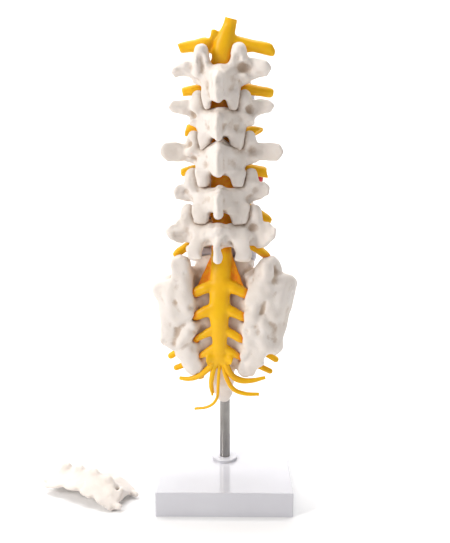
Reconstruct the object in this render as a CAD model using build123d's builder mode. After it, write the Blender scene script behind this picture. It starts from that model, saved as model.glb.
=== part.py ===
# Life-size lumbar spine and sacrum teaching model on a square stand, in millimetres.
#
# The row frame has +Z up and its origin at the middle of the base's underside. The back of the spine
# looks along -Y. The bones are placed in a spine frame whose Z axis is the stand rod's axis: x runs to
# the model's right, y forwards and z up from the table.
#
# The column follows a bent line of straight stretches, one for each vertebra, which meet in the middle
# of the discs. Each bone is lofted from ellipses and kidney outlines, fused, and cut by what it clears.

import os
from dataclasses import dataclass
from math import cos, radians, sin, tan

from build123d import *

os.makedirs("parts", exist_ok=True)

# Stand
base_side = 100.0
base_height = 18.5
base_edge_fillet = 1.0
rod_diameter = 8.0
rod_set_back = 5.0
rod_seat_depth = 9.0
rod_chamfer = 0.5
rod_end_wall = 3.0
collar_diameter = 20.0
collar_height = 2.4
collar_fillet = 0.8
screw_diameter = 4.0
screw_head_diameter = 7.0
screw_head_height = 2.8
screw_recess_depth = 4.0
screw_recess_clearance = 0.5
screw_reach = 8.0
fit_clearance = 0.1

# Column
spine_turn = 6.0
sacrum_top_y = -4.0
sacrum_top_z = 180.0
sacrum_top_tilt = 30.0
sacrum_width = 46.0
sacrum_depth = 30.0
body_height = 22.0
body_waist = 0.90
disc_height = 7.7
disc_bulge = 1.05

# Core that threads the bodies and discs
core_diameter = 5.0
core_bend_radius = 34.0
core_anchor_depth = 10.0
nut_across_flats = 8.0
nut_height = 4.0
washer_diameter = 11.0
washer_thickness = 1.0
nut_recess_clearance = 1.0
nut_recess_depth = washer_thickness + nut_height
disc_bore_clearance = 0.8

# Neural arch, back from the rear wall of its body
arch_setback = 14.0
lamina_half_thickness = 3.5
facet_gap = 0.6

# Nerves
sac_half_width = 7.2
sac_half_depth = 5.2
sac_set_back = 7.3
sac_lift = 0.9
sac_flattening = 0.85
sac_entry_height = 176.0
sac_sections = 5
sac_foot_height = 107.0
sac_foot_share = 0.55
sac_taper_height = 150.0
root_half_thickness = 3.3
root_clearance = 0.4

# Disc prolapse, seen from the middle of its disc
prolapse_radius = 4.4
prolapse_reach = 24.0
prolapse_set_back = 7.0


@dataclass
class Level:
    """One lumbar vertebra. Heights are from its middle, reaches from the middle plane."""

    name: str
    tilt: float
    width: float
    depth: float
    pedicle: float
    upper_joint: float
    lower_joint: float
    window: float
    facet_top: float
    facet_drop: float
    lamina_top: float
    lamina_bottom: float
    side_reach: float
    side_height: float
    side_half_height: float
    spine_reach: float
    spine_height: float
    spine_half_height: float
    root_end_height: float


levels = [
    Level("l5", 18, 47, 32, 17.5, 19.5, 23, 10.5, 12, 20, -1, -15, 38, -5, 5.4, 16, -21, 6, -18),
    Level("l4", 7, 45, 32, 15.5, 17, 19.5, 8, 13.5, 17, 2, -12.5, 33.5, 2, 4.8, 21, -9.5, 7.5, -17),
    Level("l3", -1, 43, 31, 14, 15.5, 17, 8, 14.5, 16, 8, -10.5, 42.5, 4.8, 5.8, 23, -3, 8, -11),
    Level("l2", -7, 41.5, 30, 13, 12, 15.5, 6, 15.5, 16, 7, -11, 36, 9, 4.4, 23, -3.5, 8, -9.5),
    Level("l1", -11, 40, 29, 12.5, 9, 12, 5.5, 18.5, 16, 8, -13, 33, 7.5, 4.8, 22, -4, 8.5, -9.5),
]


@dataclass
class Slice:
    """The sacral canal at one height: half its width, its floor, and the rims of the bone behind it."""

    z: float
    half_width: float
    floor: float
    rim: float


slices = [
    Slice(192, 19.5, -16, -30),
    Slice(174, 19.5, -22, -33),
    Slice(168, 19.5, -24, -35),
    Slice(159, 19, -26.3, -37),
    Slice(146, 17.8, -28.7, -39),
    Slice(134, 17.2, -29.6, -39.5),
    Slice(122, 16.6, -29.2, -38),
    Slice(113, 15, -27.8, -35.5),
    Slice(105, 13.8, -25.3, -31.8),
    Slice(98.5, 12.5, -22.5, -27.5),
    Slice(86, 11.5, -18, -23),
]
canal_corner = 5.0
canal_far_back = -75.0
notch_heights = [151, 135, 119.5]
notch_radius = 2.8
notch_depth = 9.0

# Right side mass of the sacrum: the middle of each section, and its half width and half depth
wing_points = [
    (23, -21, 176),
    (27.5, -20.5, 168),
    (30.5, -20.5, 159),
    (28, -24.5, 146),
    (27.3, -27, 134),
    (26.5, -27.5, 122),
    (21.5, -26, 113),
    (17.5, -23.5, 105),
    (14.5, -21, 99.5),
]
wing_sizes = [(13, 11), (19.5, 15), (23, 17), (20, 15), (19.3, 12.7), (18.8, 10.7), (14, 9), (9.5, 7.7), (6.5, 6)]
wing_slant = 0.12
middle_points = [
    (0, -12, 166),
    (0, -19, 150),
    (0, -22.5, 134),
    (0, -23.2, 120),
    (0, -21.5, 107),
    (0, -17.5, 95.5),
    (0, -14.0, 86),
    (0, -10.8, 78),
    (0, -8.8, 72),
]
middle_sizes = [(19, 10), (17, 9), (17, 7.4), (16, 6.2), (13, 5.2), (10.5, 4.4), (9.5, 3.9), (8, 3.2), (5.5, 2.7)]


@dataclass
class SacralRoot:
    """One pair of sacral nerve roots: the two ends of its straight bore, its size and its free end."""

    half_thickness: float
    bore_start: tuple
    bore_end: tuple
    free_end: tuple


sacral_roots = [
    SacralRoot(3.4, (18, -31, 160.5), (28, -3, 146), (32, 1, 141)),
    SacralRoot(3.0, (17, -33.2, 143.5), (28, -8.5, 131), (33, -5, 126)),
    SacralRoot(2.6, (16, -34, 127.5), (27, -13, 115), (40, -14, 107)),
    SacralRoot(2.2, (14, -31.5, 113.5), (24, -13, 102.5), (36, -14, 97.5)),
]
fifth_root = [(1, -31, 115), (5.5, -29.5, 106), (10, -28, 98), (17.5, -27, 92), (31, -25.5, 94)]
fifth_root_sizes = [(1.9, 1.9), (2.0, 2.0), (2.2, 2.0), (2.4, 1.9), (1.2, 1.1)]

# Free strands below the sac's foot: each one's sideways start, its radius, and its way on as steps
# sideways, forwards and up from the middle of the foot
strand_gap = 0.2
strand_bend_radius = 5.0
strands = [
    (-2.6, 1.2, [(-6, 0.7, -10), (-7, 0.2, -16), (-5.8, -2.8, -23)]),
    (0, 1.0, [(-0.5, 1.7, -11), (-4, 3.2, -21), (-11, 5.2, -30), (-23.5, 7.2, -37.5)]),
    (2.6, 1.2, [(6, 1.2, -10), (11.5, 2.7, -19), (27, 4.2, -21)]),
]

# Removed crest, as it sits on the canal's rims and as it lies on the table
crest_bearing = 2.2
crest_thickness = 4.5
crest_ridge = 5.5
crest_seat_gap = 0.3
crest_slices = slices[2:-2]
tubercle_heights = [161, 147, 133, 119]
hiatus_height = 110.5
hiatus_radius = 2.5
crest_rest_x = -104.0
crest_rest_y = -14.0
crest_rest_turn = 60.0


def leaning(y, z, tilt):
    """A plane across the column: its normal leans forwards from +Z by tilt degrees."""
    return Plane(origin=(0, y, z), x_dir=(1, 0, 0), z_dir=(0, sin(radians(tilt)), cos(radians(tilt))))


def within(plane, x=0.0, y=0.0, z=0.0):
    """The point at x, y, z of that plane's own axes."""
    return plane.from_local_coords(Vector(x, y, z))


# The bent line of the column, from the sacrum's top plate upwards, with one more bone's place above
sacrum_top = leaning(sacrum_top_y, sacrum_top_z, sacrum_top_tilt)
rod_front_drop = (rod_diameter / 2 - sacrum_top_y) * tan(radians(sacrum_top_tilt))
rod_top_z = sacrum_top_z - rod_front_drop - rod_end_wall
bends = [within(sacrum_top, z=disc_height / 2)]
frames = []
for lean in [level.tilt for level in levels] + [levels[-1].tilt]:
    stretch = leaning(bends[-1].Y, bends[-1].Z, lean)
    frames.append(stretch.offset(disc_height / 2 + body_height / 2))
    bends.append(within(stretch, z=disc_height + body_height))
top_frame = frames.pop()

spine_frame = Plane(
    origin=(0, rod_set_back, 0),
    x_dir=(cos(radians(spine_turn)), -sin(radians(spine_turn)), 0),
    z_dir=(0, 0, 1),
)


def write(name, shape):
    """Writes one node's STEP file, with its label."""
    shape.label = name
    export_step(shape, f"parts/{name}.step")


def place(name, shape):
    """Moves a piece from the spine frame to the row frame and writes it."""
    write(name, shape.moved(spine_frame.location))


def on_side(side, points):
    """The points as they are for side = 1, or on the left for side = -1."""
    return [(side * p[0], p[1], p[2]) for p in points]


def limb(points, sizes, across=(1, 0, 0), grow=0.0, tip=True):
    """A solid lofted through ellipses along the points, with a rounded far end where tip is true."""
    path = [Vector(*p) for p in points]
    halves = list(sizes)
    if tip:
        onward = (path[-1] - path[-2]).normalized()
        a, b = halves[-1]
        r = min(a, b)
        path += [path[-1] + onward * (0.62 * r), path[-1] + onward * r]
        halves += [(0.78 * a, 0.78 * b), (0.3 * a, 0.3 * b)]
    with BuildPart() as made:
        for i, (centre, (a, b)) in enumerate(zip(path, halves)):
            ahead = path[min(i + 1, len(path) - 1)]
            behind = path[max(i - 1, 0)]
            with BuildSketch(Plane(origin=centre, x_dir=across, z_dir=ahead - behind)):
                Ellipse(a + grow, b + grow)
        loft()
    return made.part


def kidney(width, depth):
    """The outline of a vertebral body seen from above, its front towards +Y."""
    right = [(0.17, 0.485), (0.36, 0.36), (0.485, 0.10), (0.475, -0.20), (0.34, -0.42), (0.16, -0.45)]
    left = [(-x, y) for x, y in reversed(right)]
    outline = [(0, 0.5), *right, (0, -0.42), *left]
    return [(x * width, y * depth) for x, y in outline]


def outline_loft(stations):
    """A solid through closed smooth outlines. Each station is a plane and its outline's points."""
    with BuildPart() as made:
        for plane, points in stations:
            with BuildSketch(plane):
                with BuildLine():
                    Spline(points, periodic=True)
                make_face()
        loft()
    return made.part


def mirror_outline(front, right, back):
    """A closed outline from its front point, the right half's points and its back point."""
    left = [(-x, y) for x, y in reversed(right)]
    return [(0, front), *right, (0, back), *left]


# Vertebrae


def lower_facet(level, side, grow=0.0):
    """An inferior articular process, which hangs behind the next bone's superior one."""
    half_width = (level.lower_joint - level.window) / 2
    x = level.lower_joint - half_width
    back = -level.depth / 2 - arch_setback
    points = [(x - 1, back - 2, -1), (x, back - 5, -10), (x, back - 6, -level.facet_drop)]
    sizes = [(half_width + 1, 4.2), (half_width, 4.4), (half_width, 4.2)]
    return limb(on_side(side, points), sizes, grow=grow)


def right_arch(level):
    """The right half's pedicle, lamina, facets and transverse process, in the vertebra's own frame."""
    wall = -level.depth / 2
    back = wall - arch_setback
    facet_x = level.upper_joint + 4.2
    pedicle = limb(
        [(level.pedicle, wall + 5, 4.5), (level.pedicle + 0.5, wall - 4, 4.5), (facet_x, back, 4)],
        [(4.0, 6.2), (3.8, 5.6), (4.6, 7.0)],
        tip=False,
    )
    middle = (level.lamina_top + level.lamina_bottom) / 2
    half_tall = (level.lamina_top - level.lamina_bottom) / 2
    thick = lamina_half_thickness
    lamina = limb(
        [
            (facet_x + 1, back + 1, 3.5),
            (0.62 * facet_x, back - 2.5, 0.35 * middle),
            (0.30 * facet_x, back - 4, 0.8 * middle),
            (-3, back - 5, middle),
        ],
        [(6.6, thick + 0.5), (7.6, thick), (half_tall + 1, thick), (half_tall, thick)],
        across=(0, 0, 1),
        tip=False,
    )
    upper_facet = limb(
        [(facet_x - 1, back + 2, 0), (facet_x, back, 0.5 * level.facet_top), (facet_x, back - 1.5, level.facet_top)],
        [(5.2, 5.6), (5.6, 5.6), (5.0, 5.0)],
    )
    reach = level.side_reach
    rise = level.side_height
    tall = level.side_half_height
    side_process = limb(
        [
            (level.pedicle - 0.5, wall - 7, 4),
            (0.42 * reach + 5, back + 2, 0.5 * (4 + rise)),
            (0.74 * reach, back - 1, rise),
            (reach - 2.4, back - 4, rise),
        ],
        [(4.4, 3.6), (0.88 * tall, 3.2), (tall, 2.7), (0.85 * tall, 2.4)],
        across=(0, 0, 1),
    )
    return [pedicle, lamina, upper_facet, lower_facet(level, 1), side_process]


def spinous_process(level):
    """The plate that stands out behind, on the middle plane."""
    back = -level.depth / 2 - arch_setback
    root_height = (level.lamina_top + level.lamina_bottom) / 2
    end = level.spine_height
    tall = level.spine_half_height
    return limb(
        [
            (0, back - 3, root_height),
            (0, back - 0.5 * level.spine_reach, 0.5 * (root_height + end)),
            (0, back - level.spine_reach - 1, end),
        ],
        [(7.0, tall), (3.9, 0.95 * tall), (3.4, tall)],
    )


def body_solid(level):
    """The waisted vertebral body, flat above and below."""
    half = body_height / 2
    rim = 0.12 * body_height
    shares = [(-half, 1.0), (rim - half, 0.98), (0, body_waist), (half - rim, 0.98), (half, 1.0)]
    return outline_loft(
        [(Plane.XY.offset(z), kidney(level.width * share, level.depth * share)) for z, share in shares]
    )


def vertebra(index):
    """A whole vertebra in the spine frame. The facets of the one above cut their seats in it."""
    level = levels[index]
    frame = frames[index]
    with BuildPart() as bone:
        add([*right_arch(level), spinous_process(level)])
        add(body_solid(level))
        split(bisect_by=Plane.YZ, keep=Keep.TOP)
        mirror(about=Plane.YZ)
    with BuildPart() as fitted:
        add(bone.part.moved(frame.location))
        if level is not levels[-1]:
            for side in (1, -1):
                facet = lower_facet(levels[index + 1], side, grow=facet_gap)
                add(facet.moved(frames[index + 1].location), mode=Mode.SUBTRACT)
        with Locations(frame):
            Cylinder(core_diameter / 2 + fit_clearance, 2 * body_height, mode=Mode.SUBTRACT)
        if level is levels[-1]:
            with Locations(frame.offset(body_height / 2 - nut_recess_depth)):
                Cylinder(
                    washer_diameter / 2 + nut_recess_clearance,
                    body_height,
                    align=(Align.CENTER, Align.CENTER, Align.MIN),
                    mode=Mode.SUBTRACT,
                )
    return fitted.part


# Discs and the prolapse


def disc(index):
    """The disc below lumbar vertebra number index: a wedge with a bulging side, bored for the core."""
    level = levels[index]
    top = frames[index].offset(-body_height / 2)
    if index == 0:
        bottom, width, depth, tilt = sacrum_top, sacrum_width, sacrum_depth, sacrum_top_tilt
    else:
        under = levels[index - 1]
        bottom = frames[index - 1].offset(body_height / 2)
        width, depth, tilt = under.width, under.depth, under.tilt
    middle = leaning(bends[index].Y, bends[index].Z, (tilt + level.tilt) / 2)
    mean_width = disc_bulge * (width + level.width) / 2
    mean_depth = disc_bulge * (depth + level.depth) / 2
    with BuildPart() as wedge:
        add(
            outline_loft(
                [
                    (bottom, kidney(width, depth)),
                    (middle, kidney(mean_width, mean_depth)),
                    (top, kidney(level.width, level.depth)),
                ]
            )
        )
        with Locations(middle):
            Cylinder(core_diameter / 2 + disc_bore_clearance, 3 * disc_height, mode=Mode.SUBTRACT)
    return wedge.part


def prolapse(carrier):
    """The bulge that has burst out of a disc to the right, cut back to the disc's side."""
    middle = leaning(bends[2].Y, bends[2].Z, (levels[1].tilt + levels[2].tilt) / 2)
    reach = prolapse_reach
    back = -prolapse_set_back
    r = prolapse_radius
    bulge = limb(
        [(reach - 7, back + 1, 0), (reach - 3, back, 0), (reach + 0.4, back - 0.6, -0.3)],
        [(0.7 * r, 0.68 * r), (0.85 * r, 0.72 * r), (r, 0.88 * r)],
    )
    with BuildPart() as mass:
        add(bulge.moved(middle.location))
        add(carrier, mode=Mode.SUBTRACT)
    return mass.part


# Sacrum


def sacral_canal():
    """What the open canal takes away, right through the back."""
    with BuildPart() as hollow:
        for cut in slices:
            depth = cut.floor - canal_far_back
            with BuildSketch(Plane(origin=(0, cut.floor - depth / 2, cut.z))):
                RectangleRounded(2 * cut.half_width, depth, canal_corner)
        loft()
    return hollow.part


def at_height(z, value):
    """A value of the slices at this height, between the two slices on either side of it."""
    for high, low in zip(slices, slices[1:]):
        if low.z <= z <= high.z:
            share = (z - low.z) / (high.z - low.z)
            return getattr(low, value) * (1 - share) + getattr(high, value) * share
    raise ValueError("height outside the sacral canal")


def sac_share(z):
    """How full the dural sac is at this height: it tapers down the sacral canal."""
    rise = min(z, sac_taper_height) - sac_foot_height
    return sac_foot_share + (1 - sac_foot_share) * rise / (sac_taper_height - sac_foot_height)


def sac_y(z):
    """How far back the middle of the dural sac lies at this height in the sacral canal."""
    return at_height(z, "floor") - sac_lift - sac_share(z) * sac_flattening * sac_half_depth


def sacral_bore(root, side):
    """The straight round hole for a sacral root, with a round mouth at the canal's wall."""
    start, end = [Vector(*p) for p in on_side(side, [root.bore_start, root.bore_end])]
    radius = root.half_thickness + root_clearance
    with BuildPart() as bore:
        with BuildSketch(Plane(origin=start, z_dir=end - start)):
            Circle(radius)
        extrude(amount=(end - start).length + 2 * radius)
        with Locations(start):
            Sphere(radius)
    return bore.part


def dorsal_notches():
    """The posts that leave half-round foramina along the canal's right rim, in bone and in crest."""
    posts = []
    for height in notch_heights:
        x = at_height(height, "half_width") + crest_bearing
        y = at_height(height, "rim")
        with BuildPart() as post:
            with BuildSketch(Plane(origin=(x, y - notch_depth / 2, height), z_dir=(0, 1, 0))):
                Circle(notch_radius)
            extrude(amount=notch_depth)
        posts.append(post.part)
    return posts


def sacrum():
    """The sacrum and coccyx, one casting, open behind where the crest comes off."""
    knob = limb(
        [(28, -25, 158), (30.5, -30, 170), (32.5, -33, 181)],
        [(8.0, 7.0), (7.6, 6.6), (7.0, 5.6)],
    )
    wing = limb(wing_points, wing_sizes, across=(1, wing_slant, 0), tip=False)
    middle = limb(middle_points, middle_sizes)
    first_body = outline_loft(
        [
            (sacrum_top.offset(-drop), kidney(share * sacrum_width, share * sacrum_depth))
            for drop, share in [(0, 1.0), (3, 0.98), (14, 0.9), (24, 0.78)]
        ]
    )
    with BuildPart() as bone:
        add([first_body, middle, wing, knob])
        add(sacral_canal(), mode=Mode.SUBTRACT)
        split(bisect_by=Plane.YZ, keep=Keep.TOP)
        facet = lower_facet(levels[0], 1, grow=facet_gap)
        add(facet.moved(frames[0].location), mode=Mode.SUBTRACT)
        for root in sacral_roots:
            add(sacral_bore(root, 1), mode=Mode.SUBTRACT)
        for post in dorsal_notches():
            add(post, mode=Mode.SUBTRACT)
        mirror(about=Plane.YZ)
        Cylinder(
            rod_diameter / 2 + fit_clearance,
            rod_top_z,
            align=(Align.CENTER, Align.CENTER, Align.MIN),
            mode=Mode.SUBTRACT,
        )
        with Locations(sacrum_top):
            Cylinder(core_diameter / 2 + fit_clearance, 2 * core_anchor_depth, mode=Mode.SUBTRACT)
    return bone.part


# Removed crest


def crest_outline(cut):
    """One level section of the crest from above: a thin vault with a ridge along its back."""
    w = cut.half_width + crest_bearing
    seat = cut.rim - crest_seat_gap
    skin = seat - crest_thickness
    right = [
        (0.45 * w, seat - 0.35 * crest_thickness),
        (0.88 * w, seat),
        (w, seat - 0.35 * crest_thickness),
        (0.86 * w, seat - 0.85 * crest_thickness),
        (0.5 * w, skin - 0.12 * crest_ridge),
        (0.2 * w, skin - 0.5 * crest_ridge),
    ]
    return mirror_outline(seat - 0.42 * crest_thickness, right, skin - crest_ridge)


def horn(x, y, low, high, radius):
    """A short upright peg with round ends."""
    with BuildPart() as peg:
        with Locations((x, y, (low + high) / 2)):
            Cylinder(radius, high - low)
        with Locations((x, y, low), (x, y, high)):
            Sphere(radius)
    return peg.part


def crest_in_place():
    """The crest as it closes the sacral canal: ridge, bumps, horns and the hiatus at its foot."""
    vault = outline_loft([(Plane.XY.offset(cut.z), crest_outline(cut)) for cut in crest_slices])
    lumps = []
    for height in tubercle_heights:
        y = at_height(height, "rim") - crest_thickness - crest_ridge
        lumps.append(limb([(0, y + 4, height + 4), (0, y, height - 1)], [(3.4, 5.0), (2.8, 4.6)]))
    top = crest_slices[0]
    foot = crest_slices[-1]
    for side in (1, -1):
        lumps.append(horn(side * 14, top.rim - 3.2, top.z - 6, top.z + 4, 2.3))
        lumps.append(horn(side * 10, foot.rim - 3.4, foot.z - 4, foot.z + 5, 2.2))
    with BuildPart() as cap:
        add(vault)
        for lump in lumps:
            add(lump)
        for post in dorsal_notches():
            add(post, mode=Mode.SUBTRACT)
            add(post.mirror(Plane.YZ), mode=Mode.SUBTRACT)
        with BuildSketch(Plane(origin=(0, 0, hiatus_height), z_dir=(0, -1, 0))):
            Circle(hiatus_radius)
        extrude(amount=-canal_far_back, mode=Mode.SUBTRACT)
    return cap.part


def crest_at_rest():
    """The crest laid on the table with its hollow side down, clear of the base."""
    laid = crest_in_place().rotate(Axis.X, -90).rotate(Axis.Z, crest_rest_turn)
    box = laid.bounding_box()
    centre = box.center()
    return laid.translate((crest_rest_x - centre.X, crest_rest_y - centre.Y, -box.min.Z))


# Nerves


def spinal_root(frame, wall, end_height, side):
    """A lumbar nerve root, from the sac out below its vertebra's pedicle, and tapered at its end."""
    back = -wall - sac_set_back
    thick = root_half_thickness
    points = [
        (2, back, 1),
        (8, back + 1, -4.7),
        (17, back + 2.2, -8),
        (25, back + 2, 0.6 * (-8) + 0.4 * end_height),
        (33, back + 0.5, end_height),
    ]
    sizes = [(thick, 0.9 * thick), (thick, thick), (thick, thick), (0.92 * thick,) * 2, (0.75 * thick,) * 2]
    return limb(on_side(side, points), sizes, across=(0, 0, 1)).moved(frame.location)


def sac():
    """The dural sac, from a slanted cut above the first lumbar vertebra down into the sacral canal."""
    back = -levels[-1].depth / 2 - sac_set_back
    centres = [within(top_frame, 7, back, 9), within(top_frame, 3.5, back, -2)]
    sizes = [(4.2, 4.0), (5.6, 4.6)]
    for level, frame in reversed(list(zip(levels, frames))):
        for z in (6, -8):
            centres.append(within(frame, 0, -level.depth / 2 - sac_set_back, z))
            sizes.append((sac_half_width, sac_half_depth))
    for step in range(sac_sections + 1):
        height = sac_entry_height - (sac_entry_height - sac_foot_height) * step / sac_sections
        centres.append(Vector(0, sac_y(height), height))
        wide = sac_share(height) * sac_half_width
        sizes.append((wide, sac_share(height) * sac_flattening * sac_half_depth))
    return limb(centres, sizes, tip=False)


def sacral_branch(root, side):
    """A sacral nerve root's stretch from the sac to a round end in its bore's mouth."""
    thick = root.half_thickness
    x, y, z = root.bore_start
    points = [(1.5, sac_y(z + 7), z + 8), (0.5 * x, sac_y(z + 4), z + 4.5), (x, y, z)]
    sizes = [(thick, 0.9 * thick), (0.95 * thick, 0.9 * thick), (thick, thick)]
    return limb(on_side(side, points), sizes, across=(0, 0, 1))


def nerves():
    """The sac with the roots that leave it, moulded as one soft piece."""
    roots = []
    for side in (1, -1):
        roots.append(spinal_root(top_frame, levels[-1].depth / 2, levels[-1].root_end_height, side))
        for level, frame in zip(levels, frames):
            roots.append(spinal_root(frame, level.depth / 2, level.root_end_height, side))
        roots += [sacral_branch(root, side) for root in sacral_roots]
        roots.append(limb(on_side(side, fifth_root), fifth_root_sizes, across=(0, 1, 0)))
    with BuildPart() as moulding:
        add(sac())
        add(roots)
    return Compound([moulding.part, *[strand(*values) for values in strands]])


def tube(points, radius):
    """A round strand of even thickness along straight runs and tangent bends, with a round tip."""
    path = [Vector(*p) for p in points]
    with BuildPart() as made:
        with BuildLine() as route:
            FilletPolyline(*path, radius=strand_bend_radius)
        with BuildSketch(Plane(origin=path[0], z_dir=path[1] - path[0])):
            Circle(radius)
        sweep(path=route.wires()[0])
        with Locations(path[-1]):
            Sphere(radius)
    return made.part


def strand(start_x, radius, steps):
    """One of the thin strands that hang from the foot of the sac."""
    foot_y = sac_y(sac_foot_height)
    onward = [(x, foot_y + ahead, sac_foot_height + up) for x, ahead, up in steps]
    return tube([(start_x, foot_y, sac_foot_height - strand_gap), *onward], radius)


def nerve_end(root, side):
    """One nerve plug, glued into a bore from the pelvic face up to the sac's own branch."""
    start, end = [Vector(*p) for p in (root.bore_start, root.bore_end)]
    inner = start + (end - start).normalized() * (root.half_thickness + root_clearance)
    return tube(on_side(side, [tuple(inner), root.bore_end, root.free_end]), root.half_thickness)


def nerve_ends():
    """The eight plugs that carry the sacral nerves on at the pelvic face, as one group."""
    return Compound([nerve_end(root, side) for side in (1, -1) for root in sacral_roots])


# Core, nut and washer


def core_rod():
    """The steel core, straight in each body and bent in the discs, anchored in the sacrum."""
    bottom = within(sacrum_top, z=-core_anchor_depth)
    top = within(frames[-1], z=body_height / 2)
    with BuildPart() as core:
        with BuildLine() as route:
            FilletPolyline(bottom, *bends[: len(levels)], top, radius=core_bend_radius)
        with BuildSketch(sacrum_top.offset(-core_anchor_depth)):
            Circle(core_diameter / 2)
        sweep(path=route.wires()[0])
    return core.part


def core_washer():
    """The washer on the floor of the recess in the top vertebra."""
    with BuildPart() as washer:
        with BuildSketch(frames[-1].offset(body_height / 2 - nut_recess_depth)):
            Circle(washer_diameter / 2)
            Circle(core_diameter / 2 + fit_clearance, mode=Mode.SUBTRACT)
        extrude(amount=washer_thickness)
    return washer.part


def core_nut():
    """The hexagon nut that holds the column together."""
    with BuildPart() as nut:
        with BuildSketch(frames[-1].offset(body_height / 2 - nut_height)):
            RegularPolygon(nut_across_flats / 2, 6, major_radius=False)
            Circle(core_diameter / 2 + fit_clearance, mode=Mode.SUBTRACT)
        extrude(amount=nut_height)
    return nut.part


# Stand


def base_plate():
    """The square block, with the rod's seat above and a counterbored screw hole below."""
    seat_floor = base_height - rod_seat_depth
    with BuildPart() as block:
        Box(base_side, base_side, base_height, align=(Align.CENTER, Align.CENTER, Align.MIN))
        fillet(block.edges().filter_by(Axis.Z) + block.edges().group_by(Axis.Z)[-1], base_edge_fillet)
        with BuildSketch(Plane(origin=(0, rod_set_back, seat_floor))):
            Circle(rod_diameter / 2 + fit_clearance)
        extrude(amount=base_height, mode=Mode.SUBTRACT)
        with BuildSketch(Plane(origin=(0, rod_set_back, 0))):
            Circle(screw_diameter / 2 + fit_clearance)
        extrude(amount=base_height, mode=Mode.SUBTRACT)
        with BuildSketch(Plane(origin=(0, rod_set_back, 0))):
            Circle(screw_head_diameter / 2 + screw_recess_clearance)
        extrude(amount=screw_recess_depth, mode=Mode.SUBTRACT)
    return block.part


def stand_rod():
    """The upright rod, from its seat in the base to the blind bore in the sacrum."""
    seat_floor = base_height - rod_seat_depth
    with BuildPart() as rod:
        with BuildSketch(Plane(origin=(0, rod_set_back, seat_floor))):
            Circle(rod_diameter / 2)
        extrude(amount=rod_top_z - seat_floor)
        chamfer(rod.edges().group_by(Axis.Z)[-1], rod_chamfer)
        with BuildSketch(Plane(origin=(0, rod_set_back, seat_floor))):
            Circle(screw_diameter / 2 + fit_clearance)
        extrude(amount=screw_reach + rod_chamfer, mode=Mode.SUBTRACT)
    return rod.part


def rod_collar():
    """The low round collar that covers the seat."""
    with BuildPart() as collar:
        with BuildSketch(Plane(origin=(0, rod_set_back, base_height))):
            Circle(collar_diameter / 2)
        extrude(amount=collar_height)
        fillet(collar.edges().group_by(Axis.Z)[-1], collar_fillet)
        with BuildSketch(Plane(origin=(0, rod_set_back, base_height))):
            Circle(rod_diameter / 2 + fit_clearance)
        extrude(amount=collar_height, mode=Mode.SUBTRACT)
    return collar.part


def base_screw():
    """The screw that pulls the rod down into its seat, with a hexagon socket in its head."""
    seat_floor = base_height - rod_seat_depth
    head_top = screw_recess_depth
    head_bottom = head_top - screw_head_height
    with BuildPart() as screw:
        with BuildSketch(Plane(origin=(0, rod_set_back, head_bottom))):
            Circle(screw_head_diameter / 2)
        extrude(amount=screw_head_height)
        with BuildSketch(Plane(origin=(0, rod_set_back, head_bottom))):
            Circle(screw_diameter / 2)
        extrude(amount=seat_floor + screw_reach - head_bottom)
        with BuildSketch(Plane(origin=(0, rod_set_back, head_bottom))):
            RegularPolygon(0.3 * screw_head_diameter, 6, major_radius=False)
        extrude(amount=0.6 * screw_head_height, mode=Mode.SUBTRACT)
    return screw.part


write("base_plate", base_plate())
write("stand_rod", stand_rod())
write("rod_collar", rod_collar())
write("base_screw", base_screw())
write("sacral_crest", crest_at_rest())
place("sacrum", sacrum())
for index, level in enumerate(levels):
    place(f"vertebra_{level.name}", vertebra(index))
    below = "s1" if index == 0 else levels[index - 1].name
    wedge = disc(index)
    place(f"disc_{level.name}_{below}", wedge)
    if level.name == "l3":
        place("disc_prolapse", prolapse(wedge))
place("core_rod", core_rod())
place("core_washer", core_washer())
place("core_nut", core_nut())
place("dura_and_nerves", nerves())
place("sacral_nerve_ends", nerve_ends())
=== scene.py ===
# %% [markdown]
# # A lumbar spine teaching model, dressed over its CAD frame
# The real object is a cast plastic spine: five lumbar vertebrae with soft discs, a sacrum whose rear
# crest lifts off, and a soft yellow moulding of the dural sac and its nerves, on a steel rod and a
# glossy white block. The CAD solids give the exact places. Here every bone is treated as clay: it is
# turned into a volume, softened, added to and roughened, and then meshed again.

from math import cos, radians, sin

import bmesh
import bpy
import numpy as np
import openvdb
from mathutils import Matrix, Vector


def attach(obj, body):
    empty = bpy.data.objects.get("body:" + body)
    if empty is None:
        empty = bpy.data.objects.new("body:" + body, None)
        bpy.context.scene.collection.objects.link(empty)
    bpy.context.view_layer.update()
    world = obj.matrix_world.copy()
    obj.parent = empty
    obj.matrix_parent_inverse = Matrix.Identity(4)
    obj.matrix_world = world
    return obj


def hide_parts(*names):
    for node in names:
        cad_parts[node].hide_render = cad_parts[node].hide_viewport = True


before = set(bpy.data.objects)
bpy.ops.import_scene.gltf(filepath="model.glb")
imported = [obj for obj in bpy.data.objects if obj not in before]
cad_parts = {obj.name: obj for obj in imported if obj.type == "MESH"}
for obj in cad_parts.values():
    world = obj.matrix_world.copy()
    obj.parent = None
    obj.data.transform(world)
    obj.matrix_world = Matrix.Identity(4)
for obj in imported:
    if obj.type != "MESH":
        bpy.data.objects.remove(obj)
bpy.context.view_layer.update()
MM = 0.001
print("CAD nodes:", len(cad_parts))

# %% [markdown]
# ## Clay as a volume
# A level set stores, for each small cube of space, how far it is from the surface: below zero inside,
# above zero outside. Softening is then a plain blur, joining two lumps is a smooth minimum, and carving
# is a smooth maximum. No seams or thin triangles are left over, which is what a fused CAD mesh has.
# Distances and places are in millimetres until the mesh is made.

# %% The volume and how it is read
VOXEL = 0.75
FINE_VOXEL = 0.55
BAND = 6.0


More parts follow.
